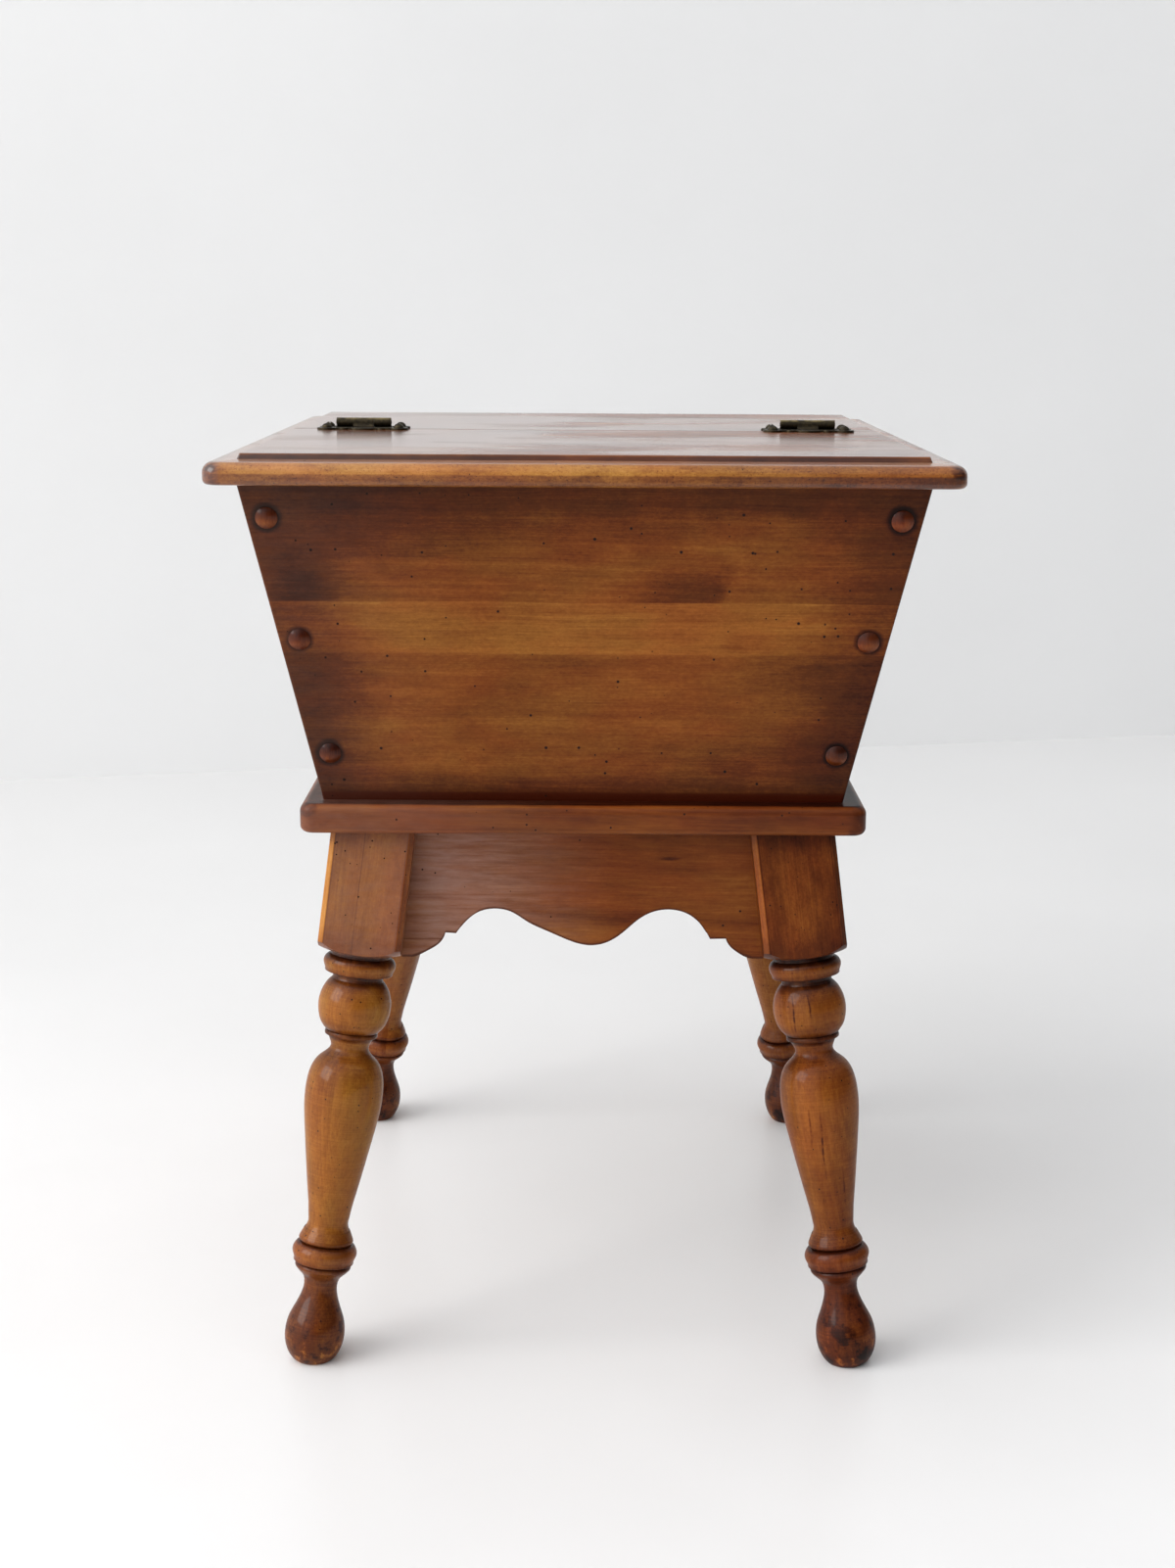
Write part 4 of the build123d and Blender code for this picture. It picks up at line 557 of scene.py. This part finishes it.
    # dark glaze lies in the grooves of the turning; the top of the torus, right under the block, is darkened most, a
    # painted shadow of the block
    groove = g.profile(s, 0.0, 0.32, [
        (0.000, 0.20), (0.006, 0.34), (0.014, 0.30), (0.030, 0.30), (0.044, 0.34), (0.050, 0.30), (0.0545, 0.22),
        (0.060, 0.36), (0.0655, 0.30), (0.0685, 0.55), (0.0702, 0.95), (0.0718, 0.30), (0.0770, 0.12),
        (0.0825, 0.30), (0.0848, 1.00), (0.0862, 0.50), (0.0885, 0.22), (0.094, 0.22), (0.104, 0.10),
        (0.150, 0.0), (0.190, 0.05), (0.215, 0.22), (0.2222, 0.45), (0.2245, 0.30), (0.2300, 0.10),
        (0.2332, 0.75), (0.2350, 0.55), (0.2374, 0.85), (0.2400, 0.25), (0.2500, 0.0), (0.2600, 0.05),
        (0.2690, 0.26), (0.2735, 0.80), (0.2780, 0.95), (0.2795, 0.35), (0.2830, 0.12), (0.2862, 0.24),
        (0.2880, 0.60), (0.2896, 1.00), (0.2925, 1.0), (0.2938, 0.0), (0.32, 0.0)])
    ragged = g.noise(g.vec(g.mul(p, 60.0), g.mul(q, 60.0), g.mul(s, 90.0)), 1.0, 3.0, 0.6)
    groove = g.mul(groove, g.step(ragged, 0.25, 0.60, 0.55, 1.15))
    tone = g.m("MULTIPLY_ADD", groove, -0.48, tone)
    # scuffed foot: bare spots and dark bruises near the floor
    low = g.step(s, 0.004, 0.030, 1.0, 0.0)
    scuff = g.noise(g.vec(g.mul(p, 75.0), g.mul(q, 75.0), g.m("MULTIPLY_ADD", s, 75.0, seed * 5.0)), 1.0, 4.0, 0.65)
    tone = g.m("MULTIPLY_ADD", g.mul(low, g.step(scuff, 0.55, 0.64)), 0.36, tone)
    tone = g.m("MULTIPLY_ADD", g.mul(g.step(s, 0.010, 0.062, 1.0, 0.0), g.step(scuff, 0.49, 0.38)), -0.28, tone)
    dots = specks(g, g.coord, 210.0, 0.0008, 0.55)
    # the foot is more worn and dirtier
    foot_part = g.step(s, 0.050, 0.071, 1.0, 0.0)
    tone = g.m("MULTIPLY_ADD", foot_part, -0.115, tone)
    wipe = g.noise(g.vec(g.mul(p, 38.0), g.mul(q, 38.0), g.m("MULTIPLY_ADD", s, 30.0, seed * 2.0)), 1.0, 3.0, 0.6)
    tone = g.m("MULTIPLY_ADD", g.mul(foot_part, g.m("SUBTRACT", wipe, 0.5)), 0.30, tone)
    # block, collar and foot are redder than the urn and the ball
    plainer = g.m("MAXIMUM", block, g.step(s, 0.078, 0.094, 1.0, 0.0))
    tints = []
    # painted sheen: a pale grey veil painted over the block's faces
    if rough_haze_and_painted_sheen:
        tints.append((g.mul(painted_sheen_mask(g, s, 0.0, -1.0, rough_haze_and_painted_sheen), block, g.m("SUBTRACT", 1.0, chamfer)), PAINTED_SHEEN))
    # painted sheen: a pale veil painted over the upper leg, fading out towards the foot
    if overlay_tint:
        tints.append((painted_sheen_mask(g, s, 0.30, 0.07, overlay_tint), PAINTED_SHEEN_PALE))
    return finish_wood(g, tone, fine, s, p, q, seed, dots=dots, specular=0.05, coat=gloss, coat_rough=0.11, rough=0.42,
                       tints=tints, red=g.m("MULTIPLY_ADD", plainer, 0.22, red),
                       gold=g.mul(gold, g.m("SUBTRACT", 1.0, plainer)) if gold else None)


# ---- small turned buttons
def button_material(name):
    g = Graph(name)
    x, y, z = g.xyz(g.coord)
    tone, fine = wood_tone(g, z, x, y, 31, base=0.275, rings=0.10, blotch=0.30)
    # painted light: the lower half is painted redder and brighter for light bounced up from the floor, the upper half
    # darker as painted shade
    for bz in BUTTON_Z:
        tone = g.m("MULTIPLY_ADD", g.bell(z, bz - 0.0032, 0.0048), 0.17, tone)
        tone = g.m("MULTIPLY_ADD", g.bell(z, bz + 0.0056, 0.0046), -0.10, tone)
    return finish_wood(g, tone, fine, z, x, y, 31, specular=0.08, coat=0.24, coat_rough=0.12, rough=0.38, red=0.70)


# ---- plain unstained wood of the hidden pieces
PLAIN = [
    (0.0, (0.22, 0.125, 0.060)),
    (0.4, (0.42, 0.270, 0.140)),
    (0.7, (0.56, 0.390, 0.215)),
    (1.0, (0.68, 0.510, 0.300)),
]


def plain_material(name, seed, run):
    g = Graph(name)
    x, y, z = g.xyz(g.coord)
    if run == "diag":
        a = g.mul(g.m("ADD", x, y), 0.7071)
        b = g.mul(g.m("SUBTRACT", x, y), 0.7071)
        u, v, w = b, a, z
    else:
        u, v, w = {"x": (x, y, z), "y": (y, x, z), "z": (z, x, y)}[run]
    tone, fine = wood_tone(g, u, v, w, seed, base=0.55, rings=0.18, blotch=0.14, heart=(0.03, -0.05))
    color = g.ramp(tone, PLAIN)
    n = g.bump(fine, 0.0001, 1.0)
    return g.surface(color, g.step(fine, 0.3, 0.7, 0.55, 0.72), n, specular=0.35)


# ---- metal
def bronze_material(name):
    g = Graph(name)
    x, y, z = g.xyz(g.coord)
    spots = g.noise(g.coord, 420.0, 4.0, 0.65)
    wear = g.noise(g.coord, 95.0, 3.0, 0.6)
    color = g.ramp(spots, [(0.25, (0.014, 0.011, 0.007)), (0.55, (0.042, 0.032, 0.018)), (0.85, (0.110, 0.082, 0.036))])
    # lighter along the tops of the knuckles and the rims: partly rubbed brass, partly a painted highlight for the lit
    # top of the barrel
    high = g.step(z, TOP_Z + 0.0066, TOP_Z + 0.0084)
    rub_and_highlight = g.mul(high, g.step(wear, 0.35, 0.60))
    color = g.mix(rub_and_highlight, color, (0.26, 0.200, 0.085))
    rough = g.step(spots, 0.3, 0.8, 0.48, 0.30)
    n = g.bump(g.add(spots, g.mul(wear, 0.6)), 0.00012, 1.0)
    return g.surface(color, rough, n, metallic=0.85, specular=0.5)


def steel_material(name):
    g = Graph(name)
    x, y, z = g.xyz(g.coord)
    brush = g.noise(g.vec(g.mul(x, 900.0), g.mul(y, 900.0), g.mul(z, 900.0)), 1.0, 3.0, 0.6)
    cloud = g.noise(g.coord, 120.0, 3.0, 0.6)
    color = g.ramp(cloud, [(0.2, (0.30, 0.285, 0.25)), (0.6, (0.47, 0.46, 0.43)), (0.9, (0.58, 0.57, 0.54))])
    n = g.bump(brush, 0.00004, 1.0)
    return g.surface(color, g.step(brush, 0.3, 0.7, 0.28, 0.42), n, metallic=1.0)


assign("lid_board", top_material("top_wood_lid", 2))
assign("rear_top_board", top_material("top_wood_rear", 5))
assign("front_panel", panel_material("panel_wood_front", 1, "y", -1.0, strips=True))
assign("back_panel", panel_material("panel_wood_back", 4, "y", 1.0))
assign("left_panel", panel_material("panel_wood_left", 6, "x", -1.0))
assign("right_panel", panel_material("panel_wood_right", 8, "x", 1.0))
assign("base_board", base_material("base_wood", 3))
assign("front_apron", apron_material("apron_wood_front", 7, "y", -1.0, streak_at=(0.060, 0.3570)))
assign("rear_apron", apron_material("apron_wood_rear", 9, "y", 1.0))
assign("left_apron", apron_material("apron_wood_left", 10, "x", -1.0))
assign("right_apron", apron_material("apron_wood_right", 11, "x", 1.0))
assign("front_left_leg", leg_material("leg_wood_front_left", 1, -1, -1, seam=("p", -0.0046), base=0.650, block_tone=-0.035,
                                      gloss=0.30, rough_haze_and_painted_sheen=0.34, red=0.06, arris=(0.24, -0.07), gold=0.60))
assign("front_right_leg", leg_material("leg_wood_front_right", 2, 1, -1, seam=("q", 0.0060), base=0.550, block_tone=-0.150,
                                       gloss=0.20, red=0.22, arris=(0.17, -0.06), gold=0.35,
                                       checks=[(-0.0030, 0.132, 0.196, 0.26), (-0.0105, 0.150, 0.204, 0.15),
                                               (-0.0130, 0.238, 0.272, 0.24), (-0.0020, 0.246, 0.274, 0.20),
                                               (-0.0110, 0.276, 0.290, 0.20), (0.0090, 0.110, 0.150, 0.12)]))
assign("rear_left_leg", leg_material("leg_wood_rear_left", 3, -1, 1, seam=("p", 0.0040), base=0.61,
                                     overlay_tint=0.36))
assign("rear_right_leg", leg_material("leg_wood_rear_right", 4, 1, 1, seam=("q", -0.0050)))
assign("peg_buttons", button_material("button_wood"))
assign("top_cleat_rear", plain_material("cleat_wood_rear", 12, "x"))
assign("top_cleat_left", plain_material("cleat_wood_left", 13, "y"))
assign("top_cleat_right", plain_material("cleat_wood_right", 14, "y"))
for i, n in enumerate(("front_left_brace", "front_right_brace", "rear_left_brace", "rear_right_brace")):
    assign(n, plain_material("brace_wood_%d" % i, 15 + i, "diag"))
assign("apron_dowels", plain_material("dowel_wood", 19, "x"))
bronze = bronze_material("hinge_bronze")
for n in ("left_hinge_rear_leaf", "right_hinge_rear_leaf", "left_hinge_lid_leaf", "right_hinge_lid_leaf",
          "left_hinge_pin", "right_hinge_pin", "lid_hinge_screws", "rear_hinge_screws"):
    assign(n, bronze)
steel = steel_material("screw_steel")
for n in ("cleat_screws", "panel_screws", "base_board_screws", "frame_screws", "brace_screws", "hanger_bolts",
          "hanger_washers", "hanger_nuts"):
    assign(n, steel)


# ------------------------------------------------------------------ stage
def stage_plane(name, corners, mat):
    mesh = bpy.data.meshes.new(name)
    mesh.from_pydata([tuple(c) for c in corners], [], [(0, 1, 2, 3)])
    mesh.update()
    o = bpy.data.objects.new(name, mesh)
    bpy.context.scene.collection.objects.link(o)
    o.data.materials.append(mat)
    return o


def near_side_only(g):
    """Lets a view from the other side look through."""
    see = g.nodes.new("ShaderNodeBsdfTransparent")
    pick = g.nodes.new("ShaderNodeMixShader")
    geo = g.nodes.new("ShaderNodeNewGeometry")
    g.put(pick.inputs[0], geo.outputs["Backfacing"])
    g.tree.links.new(g.out.inputs["Surface"].links[0].from_socket, pick.inputs[1])
    g.tree.links.new(see.outputs[0], pick.inputs[2])
    g.tree.links.new(pick.outputs[0], g.out.inputs["Surface"])


g = Graph("stage_floor")
soft = g.noise(g.coord, 3.0, 3.0, 0.55)
# painted shade: the floor is darker towards the back, standing in for the light falling off away from the window
far = g.step(g.xyz(g.coord)[1], -0.20, 0.95, 1.0, 0.895)
pale = g.ramp(soft, [(0.3, (0.825, 0.822, 0.818)), (0.7, (0.855, 0.852, 0.848))])
floor_mat = g.surface(g.v("MULTIPLY", pale, g.vec(far, far, far)),
                      g.step(soft, 0.3, 0.7, 0.30, 0.40), specular=0.30)
near_side_only(g)
g = Graph("stage_wall")
soft = g.noise(g.coord, 2.0, 3.0, 0.55)
wall_mat = g.surface(g.ramp(soft, [(0.3, (0.882, 0.884, 0.884)), (0.7, (0.910, 0.912, 0.912))]), 0.75, specular=0.2)
near_side_only(g)
k = 0.2154
turn = Vector((-k, 1.0, 0.0)).normalized()


def sweep(name, profile, mat):
    """A band across the view: profile is a list of (distance towards the wall, height)."""
    along = Vector((1.0, k, 0.0)).normalized()
    base = Vector((0.0, 1.829, 0.0))
    verts, faces = [], []
    for d, h in profile:
        for side in (-5.2, 5.2):
            verts.append(tuple(base + along * side + turn * d + Vector((0, 0, h))))
    for i in range(len(profile) - 1):
        faces.append((2 * i, 2 * i + 1, 2 * i + 3, 2 * i + 2))
    mesh = bpy.data.meshes.new(name)
    mesh.from_pydata(verts, [], faces)
    mesh.update()
    mesh.shade_smooth()
    o = bpy.data.objects.new(name, mesh)
    bpy.context.scene.collection.objects.link(o)
    o.data.materials.append(mat)


stage_plane("floor", [(-7, -7, 0), (7, -7, 0), (7, 7, 0), (-7, 7, 0)], floor_mat)
sweep("wall", [(0.0, 0.0), (0.0, 1.0), (0.0, 5.0)], wall_mat)

# ------------------------------------------------------------------ light
world = bpy.data.worlds.new("studio")
bpy.context.scene.world = world
world.use_nodes = True
wt = world.node_tree
wt.nodes.clear()
w_out = wt.nodes.new("ShaderNodeOutputWorld")
w_bg = wt.nodes.new("ShaderNodeBackground")
w_bg.inputs["Color"].default_value = (0.97, 0.98, 1.0, 1.0)
wt.links.new(w_bg.outputs[0], w_out.inputs[0])
# the room: a bright left side and ceiling, a dim right front
w_dir = wt.nodes.new("ShaderNodeTexCoord")
w_xyz = wt.nodes.new("ShaderNodeSeparateXYZ")
wt.links.new(w_dir.outputs["Generated"], w_xyz.inputs[0])


def world_range(socket, lo, hi, a, b):
    n = wt.nodes.new("ShaderNodeMapRange")
    n.interpolation_type = "SMOOTHSTEP"
    n.clamp = True
    wt.links.new(socket, n.inputs["Value"])
    for key, value in (("From Min", lo), ("From Max", hi), ("To Min", a), ("To Max", b)):
        n.inputs[key].default_value = value
    return n.outputs["Result"]


w_sum = wt.nodes.new("ShaderNodeMath")
w_sum.operation = "ADD"
wt.links.new(world_range(w_xyz.outputs[0], 0.22, -0.55, 0.08, 1.54), w_sum.inputs[0])
wt.links.new(world_range(w_xyz.outputs[2], 0.25, 0.90, 0.0, 0.68), w_sum.inputs[1])
# seen directly, past the wall's edges or from other sides, the room is an even pale grey
w_seen = wt.nodes.new("ShaderNodeLightPath")
w_pick = wt.nodes.new("ShaderNodeMix")
w_pick.data_type = "FLOAT"
wt.links.new(w_seen.outputs["Is Camera Ray"], w_pick.inputs[0])
wt.links.new(w_sum.outputs[0], w_pick.inputs[2])
w_pick.inputs[3].default_value = 0.80
wt.links.new(w_pick.outputs[0], w_bg.inputs["Strength"])


def area(name, place, target, size, power, color=(1, 1, 1)):
    data = bpy.data.lights.new(name, "AREA")
    data.shape = "RECTANGLE"
    data.size, data.size_y = size
    data.energy = power
    data.color = color
    o = bpy.data.objects.new(name, data)
    bpy.context.scene.collection.objects.link(o)
    o.location = place
    o.rotation_mode = "QUATERNION"
    o.rotation_quaternion = (Vector(target) - Vector(place)).to_track_quat("-Z", "Y")
    return o


area("window_left", (-5.20, -2.25, 3.50), (0, 0, 0.30), (3.9, 3.4), 216.0, (1.0, 0.985, 0.96))

# ------------------------------------------------------------------ camera
cam_data = bpy.data.cameras.new("camera")
cam_data.lens = 50.0
cam_data.sensor_width = 36.0
cam_data.sensor_fit = "AUTO"
cam_data.clip_start, cam_data.clip_end = 0.05, 50.0
cam = bpy.data.objects.new("camera", cam_data)
bpy.context.scene.collection.objects.link(cam)
cam.matrix_world = (Matrix.Translation((0.0029, -1.6548, 0.7363))
                    @ Matrix.Rotation(math.radians(77.37), 4, "X")
                    @ Matrix.Rotation(math.radians(0.33), 4, "Z"))
bpy.context.scene.camera = cam

view = bpy.context.scene.view_settings
view.view_transform = "Standard"
view.look = "None"
view.exposure = 0.0
view.gamma = 1.0
